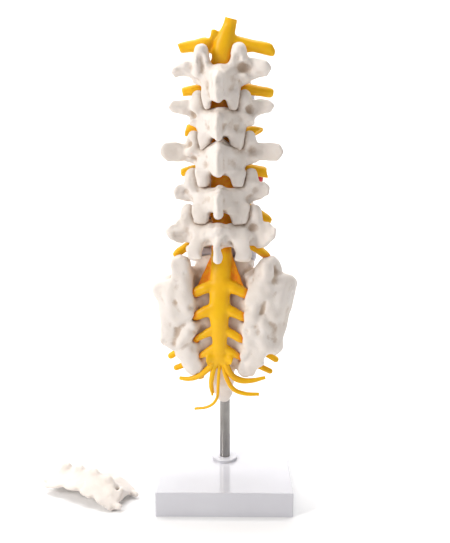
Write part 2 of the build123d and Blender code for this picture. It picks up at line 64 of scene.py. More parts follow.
def merged_node(name):
    """The corner points in millimetres and the triangles of a CAD node, with its doubles merged."""
    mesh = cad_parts[name].data
    points = np.zeros(len(mesh.vertices) * 3, np.float32)
    mesh.vertices.foreach_get("co", points)
    mesh.calc_loop_triangles()
    corners = np.zeros(len(mesh.loop_triangles) * 3, np.int32)
    mesh.loop_triangles.foreach_get("vertices", corners)
    rounded = np.round(points.reshape(-1, 3) / MM, 4)
    unique, place = np.unique(rounded, axis=0, return_inverse=True)
    return unique.astype(np.float32), place.reshape(-1)[corners].reshape(-1, 3).astype(np.uint32)


def blurred(field, sigma):
    """The field blurred by a bell curve, with sigma in voxels."""
    reach = int(np.ceil(2.5 * sigma))
    steps = np.arange(-reach, reach + 1)
    weights = np.exp(-0.5 * (steps / sigma) ** 2)
    weights /= weights.sum()
    for axis in range(3):
        spread = [(reach, reach) if a == axis else (0, 0) for a in range(3)]
        padded = np.pad(field, spread, mode="edge")
        size = field.shape[axis]
        total = np.zeros_like(field)
        for weight, start in zip(weights, range(2 * reach + 1)):
            window = [slice(None)] * 3
            window[axis] = slice(start, start + size)
            total += weight * padded[tuple(window)]
        field = total
    return field


def stretch_matrix(count, cell, offset):
    """Smooth weights that spread a coarse row of random values over count voxels."""
    place = np.arange(count) / cell + offset
    base = np.floor(place).astype(int)
    t = place - base
    rows = np.zeros((count, base.max() + 4), np.float32)
    spline = [
        (1 - t) ** 3 / 6,
        (3 * t**3 - 6 * t**2 + 4) / 6,
        (-3 * t**3 + 3 * t**2 + 3 * t + 1) / 6,
        t**3 / 6,
    ]
    for step, weight in enumerate(spline):
        rows[np.arange(count), base + step] = weight
    return rows


def smooth_noise(shape, cell, seed):
    """Rolling random values around zero whose hills are about one cell, in voxels, apart."""
    rng = np.random.default_rng(seed)
    spreads = [stretch_matrix(count, cell, rng.random()) for count in shape]
    values = rng.normal(size=[spread.shape[1] for spread in spreads]).astype(np.float32)
    for axis, spread in enumerate(spreads):
        values = np.moveaxis(np.tensordot(spread, values, axes=(1, axis)), 0, axis)
    return values / 0.4


print("voxel", VOXEL, "mm")

# %% [markdown]
# ## How two lumps meet
# Where a thumb presses one lump of clay on another, a fillet is left. A smooth minimum of two distances
# gives that fillet with one formula. A lump with flat sides is the highest of its planes' distances, and a
# silhouette is the distance to a closed outline.

# %% Fillets, hulls and outlines


def smooth_min(a, b, blend):
    """The lower of two distances, with a fillet of about the blend width where they meet."""
    h = np.maximum(blend - np.abs(a - b), 0) / blend
    return np.minimum(a, b) - h * h * blend / 4


def hull_planes(points):
    """The outward normals and the offsets of the planes round the convex hull of some points."""
    shell = bmesh.new()
    for point in points:
        shell.verts.new(point)
    bmesh.ops.convex_hull(shell, input=shell.verts[:])
    shell.normal_update()
    middle = Vector(np.mean(points, axis=0))
    planes = []
    for face in shell.faces:
        normal, offset = face.normal.copy(), face.normal.dot(face.verts[0].co)
        planes.append((normal, offset) if normal.dot(middle) < offset else (-normal, -offset))
    shell.free()
    return np.array([n[:] for n, _ in planes]), np.array([d for _, d in planes])


def outline_gap(outline, x, z):
    """How far each x, z is from a closed outline, below zero inside it."""
    ends = np.array(outline, float)
    gap, inside = np.full(x.shape, 1e3), np.zeros(x.shape, bool)
    for (ax, az), (bx, bz) in zip(ends, np.roll(ends, -1, axis=0)):
        dx, dz = bx - ax, bz - az
        share = np.clip(((x - ax) * dx + (z - az) * dz) / (dx * dx + dz * dz), 0, 1)
        gap = np.minimum(gap, np.hypot(x - ax - share * dx, z - az - share * dz))
        if dz:
            inside ^= ((az > z) != (bz > z)) & (x < ax + dx * (z - az) / dz)
    return np.where(inside, -gap, gap)


print("clay reaches", BAND, "mm from each surface")

# %% [markdown]
# ## The clay itself
# One class holds a node's volume, and each of its methods is a tool of the sculptor: it rounds, adds,
# carves, trims or draws on the surface. Only a small window of voxels round each stroke is worked on, so
# hundreds of strokes stay quick. Modelling with Blender's sculpt brushes would give the same forms, but
# not the same ones on every run.

# %% The tools for clay


class Clay:
    """A node's volume. Its methods shape it, and mesh() turns it into an object."""

    def __init__(self, points, triangles, voxel=VOXEL, margin=5.0):
        self.voxel = voxel
        self.start = np.floor((points.min(0) - margin) / voxel).astype(int)
        shape = np.ceil((points.max(0) + margin) / voxel).astype(int) - self.start + 1
        self.transform = openvdb.createLinearTransform(voxelSize=voxel)
        grid = openvdb.FloatGrid.createLevelSetFromPolygons(
            points, triangles=triangles, transform=self.transform, halfWidth=BAND / voxel
        )
        self.field = np.zeros(shape, np.float32)
        grid.copyToArray(self.field, ijk=tuple(int(v) for v in self.start))

    def soften(self, sigma, keep=None):
        """Rounds every edge and fills every corner. With keep, a width, thin forms stay as they were."""
        soft = blurred(self.field, sigma / self.voxel)
        self.field = soft if keep is None else smooth_min(soft, self.field, keep)
        return self

    def lumps(self, height, cell, seed):
        """Rolling unevenness, with its height and the distance between its hills in millimetres."""
        self.field = self.field + height * smooth_noise(self.field.shape, cell / self.voxel, seed)
        return self

    def pits(self, depth, cell, seed, share=1.0):
        """Small hollows where the noise peaks, the way air bubbles mark a casting."""
        noise = smooth_noise(self.field.shape, cell / self.voxel, seed)
        self.field = self.field + depth * np.clip(noise - share, 0, 1)
        return self

    def window(self, low, high):
        """The voxels of a box in millimetres, and their centres."""
        first = np.maximum(np.floor(np.array(low) / self.voxel).astype(int) - self.start, 0)
        beyond = np.ceil(np.array(high) / self.voxel).astype(int) - self.start + 1
        last = np.minimum(beyond, self.field.shape)
        part = tuple(slice(a, b) for a, b in zip(first, last))
        axes = [(np.arange(a, b) + s) * self.voxel for a, b, s in zip(first, last, self.start)]
        return part, np.stack(np.meshgrid(*axes, indexing="ij"), axis=-1)

    def near_rod(self, a, b, start_radius, end_radius):
        """The window around a tapered rod with round ends, and the distances to the rod there."""
        a, b = np.array(a, float), np.array(b, float)
        reach = max(start_radius, end_radius) + BAND
        part, centres = self.window(np.minimum(a, b) - reach, np.maximum(a, b) + reach)
        along = b - a
        share = np.clip(((centres - a) @ along) / max(along @ along, 1e-6), 0, 1)
        gap = np.linalg.norm(centres - a - share[..., None] * along, axis=-1)
        return part, gap - start_radius - share * (end_radius - start_radius)

    def add_rod(self, a, b, start_radius, end_radius, blend=3.0):
        """Adds a tapered rod with round ends from a to b."""
        part, gap = self.near_rod(a, b, start_radius, end_radius)
        if gap.size:
            self.field[part] = smooth_min(self.field[part], gap, blend)
        return self

    def carve_rod(self, a, b, start_radius, end_radius, blend=1.5):
        """Cuts away such a rod."""
        part, gap = self.near_rod(a, b, start_radius, end_radius)
        if gap.size:
            self.field[part] = -smooth_min(-self.field[part], gap, blend)
        return self

    def add_hull(self, points, grow=0.0, blend=3.0):
        """Adds the convex hull of the points, grown by a rounding in millimetres."""
        points = np.array(points, float)
        normals, offsets = hull_planes(points)
        part, centres = self.window(points.min(0) - grow - BAND, points.max(0) + grow + BAND)
        if centres.size:
            gap = np.max(centres @ normals.T - offsets, axis=-1) - grow
            self.field[part] = smooth_min(self.field[part], gap, blend)
        return self

    def carve_hull(self, points, blend=1.5):
        """Cuts away the convex hull of the points."""
        points = np.array(points, float)
        normals, offsets = hull_planes(points)
        part, centres = self.window(points.min(0) - BAND, points.max(0) + BAND)
        if centres.size:
            gap = np.max(centres @ normals.T - offsets, axis=-1)
            self.field[part] = -smooth_min(-self.field[part], gap, blend)
        return self

    def trim(self, outline, blend=2.5):
        """Cuts away what lies outside an outline of x and z, seen along Y."""
        xs, zs = [(np.arange(self.field.shape[i]) + self.start[i]) * self.voxel for i in (0, 2)]
        gap = outline_gap(outline, *np.meshgrid(xs, zs, indexing="ij"))[:, None, :]
        self.field = -smooth_min(-self.field, -gap, blend)
        return self

    def add_plate(self, outline, middle, half, blend=3.0):
        """Adds a plate of an outline of x and z, with its middle at y = middle(z)."""
        xs, ys, zs = [(np.arange(self.field.shape[i]) + self.start[i]) * self.voxel for i in range(3)]
        gap = outline_gap(outline, *np.meshgrid(xs, zs, indexing="ij"))[:, None, :]
        flat = np.abs(ys[None, :, None] - middle(zs)[None, None, :]) - half
        self.field = smooth_min(self.field, -smooth_min(-gap, -flat, 4.0), blend)
        return self

    def stroke(self, points, look, width, height, reach=11.0):
        """A ridge, or a groove where height is below zero, drawn on the surface as seen along look."""
        look = np.array(look, float)
        ends = [np.array(p, float) for p in points]
        ends = ends if len(ends) > 1 else ends * 2
        spread = 2.2 * width + reach * np.abs(look)
        part, centres = self.window(np.min(ends, axis=0) - spread, np.max(ends, axis=0) + spread)
        if not centres.size:
            return self
        total = np.zeros(centres.shape[:-1])
        for a, b in zip(ends, ends[1:]):
            along = b - a
            flat = along - (along @ look) * look
            offset = centres - a
            depth = offset @ look
            offset = offset - depth[..., None] * look
            share = np.clip((offset @ flat) / max(flat @ flat, 1e-6), 0, 1)
            gap = np.linalg.norm(offset - share[..., None] * flat, axis=-1)
            inward = depth - share * (along @ look)
            total = np.maximum(total, np.exp(-((gap / width) ** 2) - (inward / reach) ** 4))
        self.field[part] -= height * total
        return self

    def keep_clear(self, other, gap):
        """Cuts this clay back to leave a gap to another one that is already shaped."""
        low = np.maximum(self.start, other.start)
        high = np.minimum(self.start + self.field.shape, other.start + other.field.shape)
        mine = tuple(slice(a, b) for a, b in zip(low - self.start, high - self.start))
        theirs = tuple(slice(a, b) for a, b in zip(low - other.start, high - other.start))
        self.field[mine] = np.maximum(self.field[mine], gap - other.field[theirs])
        return self

    def read(self, field, points):
        """Values of a field at points in millimetres, between the voxel centres."""
        place = points / self.voxel - self.start
        base = np.clip(np.floor(place).astype(int), 0, np.array(field.shape) - 2)
        t = np.clip(place - base, 0, 1)
        total = np.zeros(len(points), np.float32)
        for corner in np.ndindex(2, 2, 2):
            weight = np.prod([t[:, i] if corner[i] else 1 - t[:, i] for i in range(3)], axis=0)
            total += weight * field[tuple(base[:, i] + corner[i] for i in range(3))]
        return total

    def mesh(self, name, material, relief=3.0):
        """The surface as an object, with how hollow or proud each point is as its relief attribute."""
        grid = openvdb.FloatGrid(BAND)
        grid.transform = self.transform
        grid.copyFromArray(np.ascontiguousarray(self.field), ijk=tuple(int(v) for v in self.start))
        points, triangles, quads = grid.convertToPolygons(isovalue=0.0, adaptivity=0.0)
        faces = [tuple(int(i) for i in face[::-1]) for face in [*quads, *triangles]]
        made = bpy.data.meshes.new(name)
        made.from_pydata([tuple(p) for p in (points * MM).tolist()], [], faces)
        made.validate()
        values = self.read(blurred(self.field, relief / self.voxel), points) / relief
        spot = made.attributes.new("relief", "FLOAT", "POINT")
        spot.data.foreach_set("value", values.astype(np.float32))
        # The seam attribute, filled in later: nearness to the next piece, and painted shade on the nerves
        made.attributes.new("seam", "FLOAT", "POINT")
        self.points = points
        made.polygons.foreach_set("use_smooth", [True] * len(made.polygons))
        made.materials.append(material)
        piece = bpy.data.objects.new(name, made)
        bpy.context.scene.collection.objects.link(piece)
        print(name, len(made.vertices), "points")
        return piece


print("tools:", ", ".join(title for title in vars(Clay) if not title.startswith("_")))

# %% [markdown]
# ## Shared finishes
# The bones, discs and nerves are all coloured the same way: a base colour, then a darker tone that stays in
# the hollows and seams and is kept off the high places. On the bones it is partly a brown stain and partly
# painted shade, and on the nerves it is painted shade. One node group paints that tone, from the relief
# attribute, and a second one gives every moulded surface its fine grain.

# %% Group helpers


def new_group(name, inputs, outputs):
    """An empty shader group with typed, named sockets. An input's third value is its default."""
    group = bpy.data.node_groups.new(name, "ShaderNodeTree")
    for title, kind, default in inputs:
        socket = group.interface.new_socket(title, in_out="INPUT", socket_type=kind)
        socket.default_value = default
    for title, kind in outputs:
        group.interface.new_socket(title, in_out="OUTPUT", socket_type=kind)
    return group, group.nodes.new("NodeGroupInput"), group.nodes.new("NodeGroupOutput")


def noise_node(tree, vector, scale, detail=3.0, roughness=0.55):
    """A noise texture read at the given places."""
    node = tree.nodes.new("ShaderNodeTexNoise")
    node.inputs["Scale"].default_value = scale
    node.inputs["Detail"].default_value = detail
    node.inputs["Roughness"].default_value = roughness
    tree.links.new(vector, node.inputs["Vector"])
    return node


def map_range(tree, value, low, high, to_low=0.0, to_high=1.0):
    """A value rescaled and clamped; each limit is a number or a socket."""
    node = tree.nodes.new("ShaderNodeMapRange")
    tree.links.new(value, node.inputs["Value"])
    for title, given in [("From Min", low), ("From Max", high), ("To Min", to_low), ("To Max", to_high)]:
        if isinstance(given, (int, float)):
            node.inputs[title].default_value = given
        else:
            tree.links.new(given, node.inputs[title])
    return node.outputs["Result"]


def mix_colour(tree, share, first, second):
    """A blend of two colours, each a socket or three numbers."""
    node = tree.nodes.new("ShaderNodeMix")
    node.data_type = "RGBA"
    for title, given in [("Factor", share), ("A", first), ("B", second)]:
        socket = next(s for s in node.inputs if s.name == title and s.enabled)
        if isinstance(given, (int, float)):
            socket.default_value = given
        elif isinstance(given, tuple):
            socket.default_value = (*given, 1.0)
        else:
            tree.links.new(given, socket)
    return next(s for s in node.outputs if s.enabled)


def maths(tree, how, first, second):
    """A sum, a product or the like, of sockets or numbers."""
    node = tree.nodes.new("ShaderNodeMath")
    node.operation = how
    for socket, given in zip(node.inputs, (first, second)):
        if isinstance(given, (int, float)):
            socket.default_value = given
        else:
            tree.links.new(given, socket)
    return node.outputs["Value"]


print("helpers for node groups ready")

# %% [markdown]
# ## The wash with its painted shade, and the grain
# The wash group darkens each point by how deep it lies, from the relief attribute, and by how near the next
# piece is, from the seam attribute. This is partly a brown stain in crevices and joints, and partly painted
# shade in the hollows and between pieces. The grain group gives a height and a roughness, so no surface is
# perfectly even.

# %% Two shared node groups


def wash_and_shade_group():
    """A base colour darkened in the hollows and seams, partly a brown stain and partly painted shade, with
    blotches of a second tone.
    """
    group, given, result = new_group(
        "wash_and_painted_shade",
        [
            ("Base", "NodeSocketColor", (0.8, 0.8, 0.8, 1)),
            ("Second tone", "NodeSocketColor", (0.7, 0.7, 0.7, 1)),
            # Wash is the darker tone of the hollows and seams: partly a brown stain, partly painted shade
            ("Wash", "NodeSocketColor", (0.3, 0.2, 0.1, 1)),
            ("Wash strength", "NodeSocketFloat", 0.7),
            ("Hollow start", "NodeSocketFloat", 0.05),
            ("Hollow full", "NodeSocketFloat", 0.5),
            ("Blotch scale", "NodeSocketFloat", 60.0),
        ],
        [("Color", "NodeSocketColor"), ("Hollow", "NodeSocketFloat")],
    )
    place = group.nodes.new("ShaderNodeTexCoord").outputs["Object"]
    relief = group.nodes.new("ShaderNodeAttribute")
    relief.attribute_name = "relief"
    seam = group.nodes.new("ShaderNodeAttribute")
    seam.attribute_name = "seam"
    blotch = noise_node(group, place, 60.0, detail=4.0)
    group.links.new(given.outputs["Blotch scale"], blotch.inputs["Scale"])
    streak = noise_node(group, place, 420.0, detail=5.0, roughness=0.7)
    uneven = map_range(group, streak.outputs["Fac"], 0.3, 0.7, -0.06, 0.06)
    # Painted shade, partly a brown stain: darker where a point lies deep in a hollow or near the next piece
    depth = maths(group, "SUBTRACT", maths(group, "MULTIPLY", relief.outputs["Fac"], -1.0), uneven)
    hollow = map_range(group, depth, given.outputs["Hollow start"], given.outputs["Hollow full"])
    broken = map_range(group, streak.outputs["Fac"], 0.25, 0.6)
    seam_share = maths(group, "MULTIPLY", seam.outputs["Fac"], broken)
    both = maths(group, "MAXIMUM", hollow, seam_share)
    share = maths(group, "MULTIPLY", both, given.outputs["Wash strength"])
    tone = map_range(group, blotch.outputs["Fac"], 0.35, 0.7)
    base = mix_colour(group, tone, given.outputs["Base"], given.outputs["Second tone"])
    group.links.new(mix_colour(group, share, base, given.outputs["Wash"]), result.inputs["Color"])
    group.links.new(both, result.inputs["Hollow"])
    return group


def grain_group():
    """Fine casting grain: a height for a bump node, and a roughness that varies with it."""
    group, given, result = new_group(
        "casting_grain",
        [
            ("Scale", "NodeSocketFloat", 500.0),
            ("Roughness low", "NodeSocketFloat", 0.4),
            ("Roughness high", "NodeSocketFloat", 0.6),
        ],
        [("Height", "NodeSocketFloat"), ("Roughness", "NodeSocketFloat")],
    )
    place = group.nodes.new("ShaderNodeTexCoord").outputs["Object"]
    fine = noise_node(group, place, 500.0, detail=6.0, roughness=0.65)
    group.links.new(given.outputs["Scale"], fine.inputs["Scale"])
    wide = noise_node(group, place, 90.0, detail=2.0)
    height = maths(group, "ADD", fine.outputs["Fac"], maths(group, "MULTIPLY", wide.outputs["Fac"], 1.5))
    group.links.new(height, result.inputs["Height"])
    rough = map_range(
        group, wide.outputs["Fac"], 0.3, 0.7, given.outputs["Roughness low"], given.outputs["Roughness high"]
    )
    group.links.new(rough, result.inputs["Roughness"])
    return group


WASH_AND_SHADE = wash_and_shade_group()
GRAIN = grain_group()
print("shared groups:", WASH_AND_SHADE.name, GRAIN.name)

# %% [markdown]
# ## From groups to a material
# Each plastic is one Principled BSDF. The groups feed its colour, roughness and normal, and everything
# that is the same all over is set on the shader's own sockets.

# %% Material helpers


def shader_of(name, **constants):
    """A new material with a Principled BSDF whose constant sockets are set by name."""
    material = bpy.data.materials.new(name)
    material.use_nodes = True
    shader = material.node_tree.nodes["Principled BSDF"]
    for title, value in constants.items():
        shader.inputs[title.replace("_", " ")].default_value = value
    return material, material.node_tree, shader


def place_group(tree, group, **values):
    """A shared group in a material's tree, with its own values."""
    node = tree.nodes.new("ShaderNodeGroup")
    node.node_tree = group
    for title, value in values.items():
        socket = node.inputs[title.replace("_", " ")]
        socket.default_value = (*value, 1.0) if isinstance(value, tuple) else value
    return node


def add_bump(tree, shader, height, strength, distance):
    """A bump from a height, on the shader's normal."""
    bump = tree.nodes.new("ShaderNodeBump")
    bump.inputs["Strength"].default_value = strength
    bump.inputs["Distance"].default_value = distance
    tree.links.new(height, bump.inputs["Height"])
    tree.links.new(bump.outputs["Normal"], shader.inputs["Normal"])


def cast_material(name, wash, grain, bump, **constants):
    """A moulded plastic with the wash group's darker tone, partly painted shade, in its hollows and seams,
    from its values for the two shared groups.
    """
    material, tree, shader = shader_of(name, **constants)
    paint = place_group(tree, WASH_AND_SHADE, **wash)
    surface = place_group(tree, GRAIN, **grain)
    tree.links.new(paint.outputs["Color"], shader.inputs["Base Color"])
    tree.links.new(surface.outputs["Roughness"], shader.inputs["Roughness"])
    add_bump(tree, shader, surface.outputs["Height"], *bump)
    return material


print("material helpers ready")

# %% [markdown]
# ## Cast plastics
# Bone is a warm white, nearly matte, with tan in its joints and crevices that is partly painted shade. Nerve
# plastic is softer and lets light in, so it has some subsurface scattering, and its deep orange wash is
# painted shade. Discs are a cool grey rubber, and the prolapse is glossy red.

# %% Bone, disc, nerve and prolapse
# The bone's Wash is a tan in its crevices and joints: partly a stain, partly painted shade
BONE = cast_material(
    "bone_cast",
    dict(
        Base=(0.82, 0.76, 0.715),
        Second_tone=(0.76, 0.69, 0.63),
        Wash=(0.42, 0.29, 0.19),
        Wash_strength=0.72,
        Hollow_start=0.0,
        Hollow_full=0.20,
        Blotch_scale=45.0,
    ),
    dict(Scale=650.0, Roughness_low=0.42, Roughness_high=0.58),
    (0.35, 0.0006),
    Subsurface_Weight=0.08,
    Subsurface_Radius=(0.004, 0.003, 0.002),
    Subsurface_Scale=0.6,
    Specular_IOR_Level=0.4,
)
# The nerve's Wash colour is painted shade: the deep orange of the sac in shade between the laminae, in its
# hollows and near the bones
NERVE = cast_material(
    "nerve_soft",
    dict(
        Base=(0.88, 0.50, 0.004),
        Second_tone=(0.84, 0.43, 0.003),
        Wash=(0.86, 0.17, 0.005),
        Wash_strength=0.85,
        Hollow_start=0.06,
        Hollow_full=0.5,
        Blotch_scale=70.0,
    ),
    dict(Scale=500.0, Roughness_low=0.32, Roughness_high=0.46),
    (0.25, 0.0004),
    Subsurface_Weight=0.06,
    Subsurface_Radius=(0.004, 0.0015, 0.0003),
    Subsurface_Scale=0.5,
    Specular_IOR_Level=0.3,
)
# The disc's Wash makes it a darker grey in its hollows
DISC = cast_material(
    "disc_rubber",
    dict(
        Base=(0.63, 0.63, 0.70),
        Second_tone=(0.52, 0.51, 0.58),
        Wash=(0.28, 0.22, 0.22),
        Wash_strength=0.5,
        Hollow_start=0.1,
        Hollow_full=0.6,
        Blotch_scale=90.0,
    ),
    dict(Scale=380.0, Roughness_low=0.38, Roughness_high=0.52),
    (0.3, 0.0005),
    Subsurface_Weight=0.15,
    Subsurface_Radius=(0.003, 0.003, 0.004),
    Subsurface_Scale=0.5,
)
# The prolapse's Wash makes it a darker red in its hollows
PROLAPSE = cast_material(
    "prolapse_gloss",
    dict(
        Base=(0.62, 0.012, 0.02),
        Second_tone=(0.46, 0.006, 0.012),
        Wash=(0.16, 0.002, 0.004),
        Wash_strength=0.8,
        Hollow_start=0.05,
        Hollow_full=0.5,
        Blotch_scale=300.0,
    ),
    dict(Scale=700.0, Roughness_low=0.2, Roughness_high=0.32),
    (0.3, 0.0004),
    Coat_Weight=0.4,
    Coat_Roughness=0.12,
)
print("cast plastics ready")

# %% [markdown]
# ## Places in the column
# Each vertebra leans a little more than the one below, so its details are easiest to place in its own
# axes: x to the model's right, y forwards and z up. The whole spine is also turned on its base. These
# few lines repeat the CAD's bent line of the column, in millimetres.

# %% The bone frames
TURN = radians(6.0)
SET_BACK = 5.0
SACRUM_TOP = (-4.0, 180.0)
SACRUM_TILT = radians(30)
BODY, DISC_TALL = 22.0, 7.7
ARCH_SETBACK = 14.0
LEANS = {"l5": 18, "l4": 7, "l3": -1, "l2": -7, "l1": -11, "t12": -11}
DEPTHS = {"l5": 32, "l4": 32, "l3": 31, "l2": 30, "l1": 29, "t12": 29}


def world_point(x, y, z):
    """A place of the spine's own axes in the row frame, in millimetres."""
    return np.array((x * cos(TURN) + y * sin(TURN), y * cos(TURN) - x * sin(TURN) + SET_BACK, z))


def column_frames():
    """The middle of each vertebra's body, as y and z, found by walking up the column."""
    y, z = SACRUM_TOP
    y, z = y + sin(SACRUM_TILT) * DISC_TALL / 2, z + cos(SACRUM_TILT) * DISC_TALL / 2
    middles = {}
    for name, lean in LEANS.items():
        s, c = sin(radians(lean)), cos(radians(lean))
        half = (DISC_TALL + BODY) / 2
        middles[name] = (y + s * half, z + c * half)
        y, z = y + s * 2 * half, z + c * 2 * half
    return middles


MIDDLES = column_frames()


def bone_point(name, x, y, z):
    """A place of one vertebra's own axes in the row frame."""
    my, mz = MIDDLES[name]
    s, c = sin(radians(LEANS[name])), cos(radians(LEANS[name]))
    return world_point(x, my + y * c + z * s, mz - y * s + z * c)


print({name: tuple(round(v, 1) for v in middle) for name, middle in MIDDLES.items()})

# %% [markdown]
# ## The vertebrae
# A cast vertebra has no crisp edges: every process swells out of the arch with a fillet. The CAD solid
# is softened, and the forms that make each bone what it is are pressed on as rods and convex lumps: the
# roof of the laminae, the ears of the upper joints, the knobs behind them and the leaves of the side
# processes. Places are in the bone's own axes, y from the rear of its arch. Left and right differ.

# %% What each vertebra looks like
# How far out the upper joint, the lower joint and the window's edge lie, how far the joints rise and drop,
# the top and bottom of the roof, and how far back and how low the tip of the ridge is
ARCHES = {
    "l5": dict(
        joint=19.5, lower=23.0, window=10.5, rise=12.0, drop=20.0,
        top=-1.0, bottom=-15.0, out=16.0, tip=-21.0,
    ),
    "l4": dict(
        joint=17.0, lower=19.5, window=8.0, rise=13.5, drop=17.0,
        top=2.0, bottom=-12.5, out=21.0, tip=-9.5,
    ),
    "l3": dict(
        joint=15.5, lower=17.0, window=8.0, rise=14.5, drop=16.0,
        top=8.0, bottom=-10.5, out=23.0, tip=-3.0,
    ),
    "l2": dict(
        joint=12.0, lower=15.5, window=6.0, rise=15.5, drop=16.0,
        top=7.0, bottom=-11.0, out=23.0, tip=-3.5,
    ),
    "l1": dict(
        joint=9.0, lower=12.0, window=5.5, rise=18.5, drop=16.0,
        top=8.0, bottom=-13.0, out=22.0, tip=-4.0,
    ),
}
# The width of each body, and how far the ridge rises above the roof's top
WIDTHS = {"l5": 47.0, "l4": 45.0, "l3": 43.0, "l2": 41.5, "l1": 40.0}
PEAKS = {"l5": 2.0, "l4": 3.5, "l3": 5.5, "l2": 0.5, "l1": 0.0}
# Side processes, on the left and on the right: the corners of their outlines as x and z, then the hollows
# in them as x, z and radius
LEAVES = {
    "l1": (
        [
            [(16, 9), (16, 1), (24, 10.5), (24, 4)],
            [(23, 10), (31, 8.5), (23, 4.5), (32.3, 5), (31.2, 2.6)],
        ],
        [
            [(15, 9), (15, -1), (22, 11.5), (22, 2)],
            [(21, 11.5), (29, 10.6), (32.8, 6.5), (31, 2.4), (22, 2)],
        ],
        [(27.5, 1.2, 1.9), (29.5, 12, 1.6), (19, -1, 1.5)],
        [(18, 7.5, 2.2), (25.5, 1.0, 1.3)],
    ),
    "l2": (
        [
            [(18, 11), (18, 2), (26, 12), (26, 6.5)],
            [(25, 12), (33, 12.5), (35.6, 9), (33.5, 6), (25, 6.2)],
        ],
        [
            [(18, 11), (18, 2), (26, 12), (26, 5.5)],
            [(25, 12), (32, 12.5), (35.6, 9.6), (34, 5.8), (25, 5.5)],
        ],
        [(29.5, 13.6, 1.7), (31, 4.6, 1.5), (21, 4, 1.6)],
        [(21.5, 7.5, 2.0), (28, 14, 1.4)],
    ),
    "l3": (
        [
            [(19, 8.5), (19, 1.5), (27, 8), (27, 2.5)],
            [(26, 8), (33, 10.2), (40, 9.6), (42.1, 5), (38, -0.6), (31, -0.4), (26, 2)],
        ],
        [
            [(19, 9), (19, 1), (27, 9), (27, 1.5)],
            [(26, 9), (34, 10), (40, 9), (42.1, 5), (39, 0), (30, 0.2), (26, 1.5)],
        ],
        [(22, -0.6, 1.9), (23.5, 10.6, 1.6)],
        [(24, 6, 2.0), (29, -1.5, 1.5)],
    ),
    "l4": (
        [
            [(20, 4), (20, -3), (26, 4.5), (26, -2)],
            [(25, 4.5), (30, 5), (33, 2), (32, -2.4), (26, -2.6)],
        ],
        [
            [(20, 5), (20, -2), (26, 6), (26, -0.5)],
            [(25, 6), (30, 8.4), (33, 5.6), (32.5, 1), (26, -0.8)],
        ],
        [(27, 1.2, 1.7), (24, -4, 1.6)],
        [(26.5, 2.4, 2.3), (23, -3, 1.8)],
    ),
    "l5": (
        [
            [(21, 2), (21, -10), (29, 2.5), (29, -9)],
            [(28, 2.8), (35, 0.5), (37.6, -3.4), (33, -7.5), (28, -10)],
        ],
        [
            [(21, 2), (21, -11), (29, 2), (29, -11)],
            [(28, 2), (34, 2.5), (37.6, -1), (37.4, -6.6), (33, -11.5), (28, -12)],
        ],
        [(25, -9.5, 2.4), (31, 0.5, 1.3)],
        [(29, -8, 2.0), (33.5, -2, 1.5), (24, 0, 1.7), (26, -12.5, 2.2)],
    ),
}


def side_depth(x):
    """How far back from the arch's rear the middle of a side process lies, x out from the middle plane."""
    return float(np.interp(x, [14.0, 20.0, 30.0, 42.0], [1.5, 1.5, -1.2, -4.0]))


print("side processes:", 2 * len(LEAVES))

# %% [markdown]
# ## Roof, ridge, joints and leaves
# The forms are laid on in the order in which a sculptor would build them up. Flat slopes are convex hulls
# of a few corners, knobs are short rods, and each one melts into the clay with its own fillet. The hollows
# come last, because they cut into what was added.

# %% The roof of the laminae


def arch_place(name, side):
    """A function that turns a place of one half of the arch into millimetres of the row frame."""
    rear = -DEPTHS[name] / 2 - ARCH_SETBACK
    return lambda x, y, z: bone_point(name, side * x, rear + y, z)


def press_roof(clay, name, side):
    """One slope of the laminae, from the midline ridge out to the lower joint."""
    arch, at = ARCHES[name], arch_place(name, side)
    top, bottom, wide, gap = arch["top"], arch["bottom"], arch["lower"], arch["window"]
    peak = top + PEAKS[name]
    low = -0.62 * arch["drop"]
    upper = [at(0, -1, peak - 2), at(0, -7.5, peak - 1)]
    upper += [at(wide - 2.5, 0, top - 2.5), at(wide - 1.5, -3.5, top - 3)]
    lower = [at(wide - 0.5, -3.5, low), at(wide - 1.0, -6.8, low)]
    if name == "l5":
        lower += [at(gap + 3, -4, low + 1), at(gap + 3, -7.5, low + 1)]
        bottom = -7.0
    else:
        lower += [at(gap + 1.2, -4.0, low + 1.5), at(gap + 1.2, -8.0, low + 1)]
    middle = [at(0, -4, bottom + 1.5), at(0, -10.0, bottom + 1), at(2.5, -9, bottom + 1.5)]
    clay.add_hull(upper + lower + middle, grow=1.2, blend=2.5)
    crown = -0.72 * arch["out"]
    slope = [at(0, -5, peak - 2.5), at(0.80 * wide, -3.5, top - 3)]
    slope += [at(0.78 * wide, -4.5, low + 3), at(0, -6, bottom + 2)]
    slope += [at(0, crown, peak - 4), at(1.2, crown, top - 5)]
    slope += [at(0, crown - 1, bottom + 3), at(1.4, crown - 1, bottom + 3.5)]
    clay.add_hull(slope, grow=1.2, blend=2.5)
    foot = -arch["drop"] - 1.5
    joint = [at(gap + 2.5, -4, low), at(wide - 2, -3, low), at(gap + 2.2, -8, low), at(wide - 2, -7.5, low)]
    joint += [at(gap + 3.2, -5, foot), at(wide - 3, -4.5, foot)]
    joint += [at(gap + 3.2, -7.5, foot), at(wide - 3, -7.5, foot)]
    clay.add_hull(joint, grow=1.9, blend=3.0)


print("roof corners are set back", ARCH_SETBACK, "mm from the body's rear")

# %% The ridge


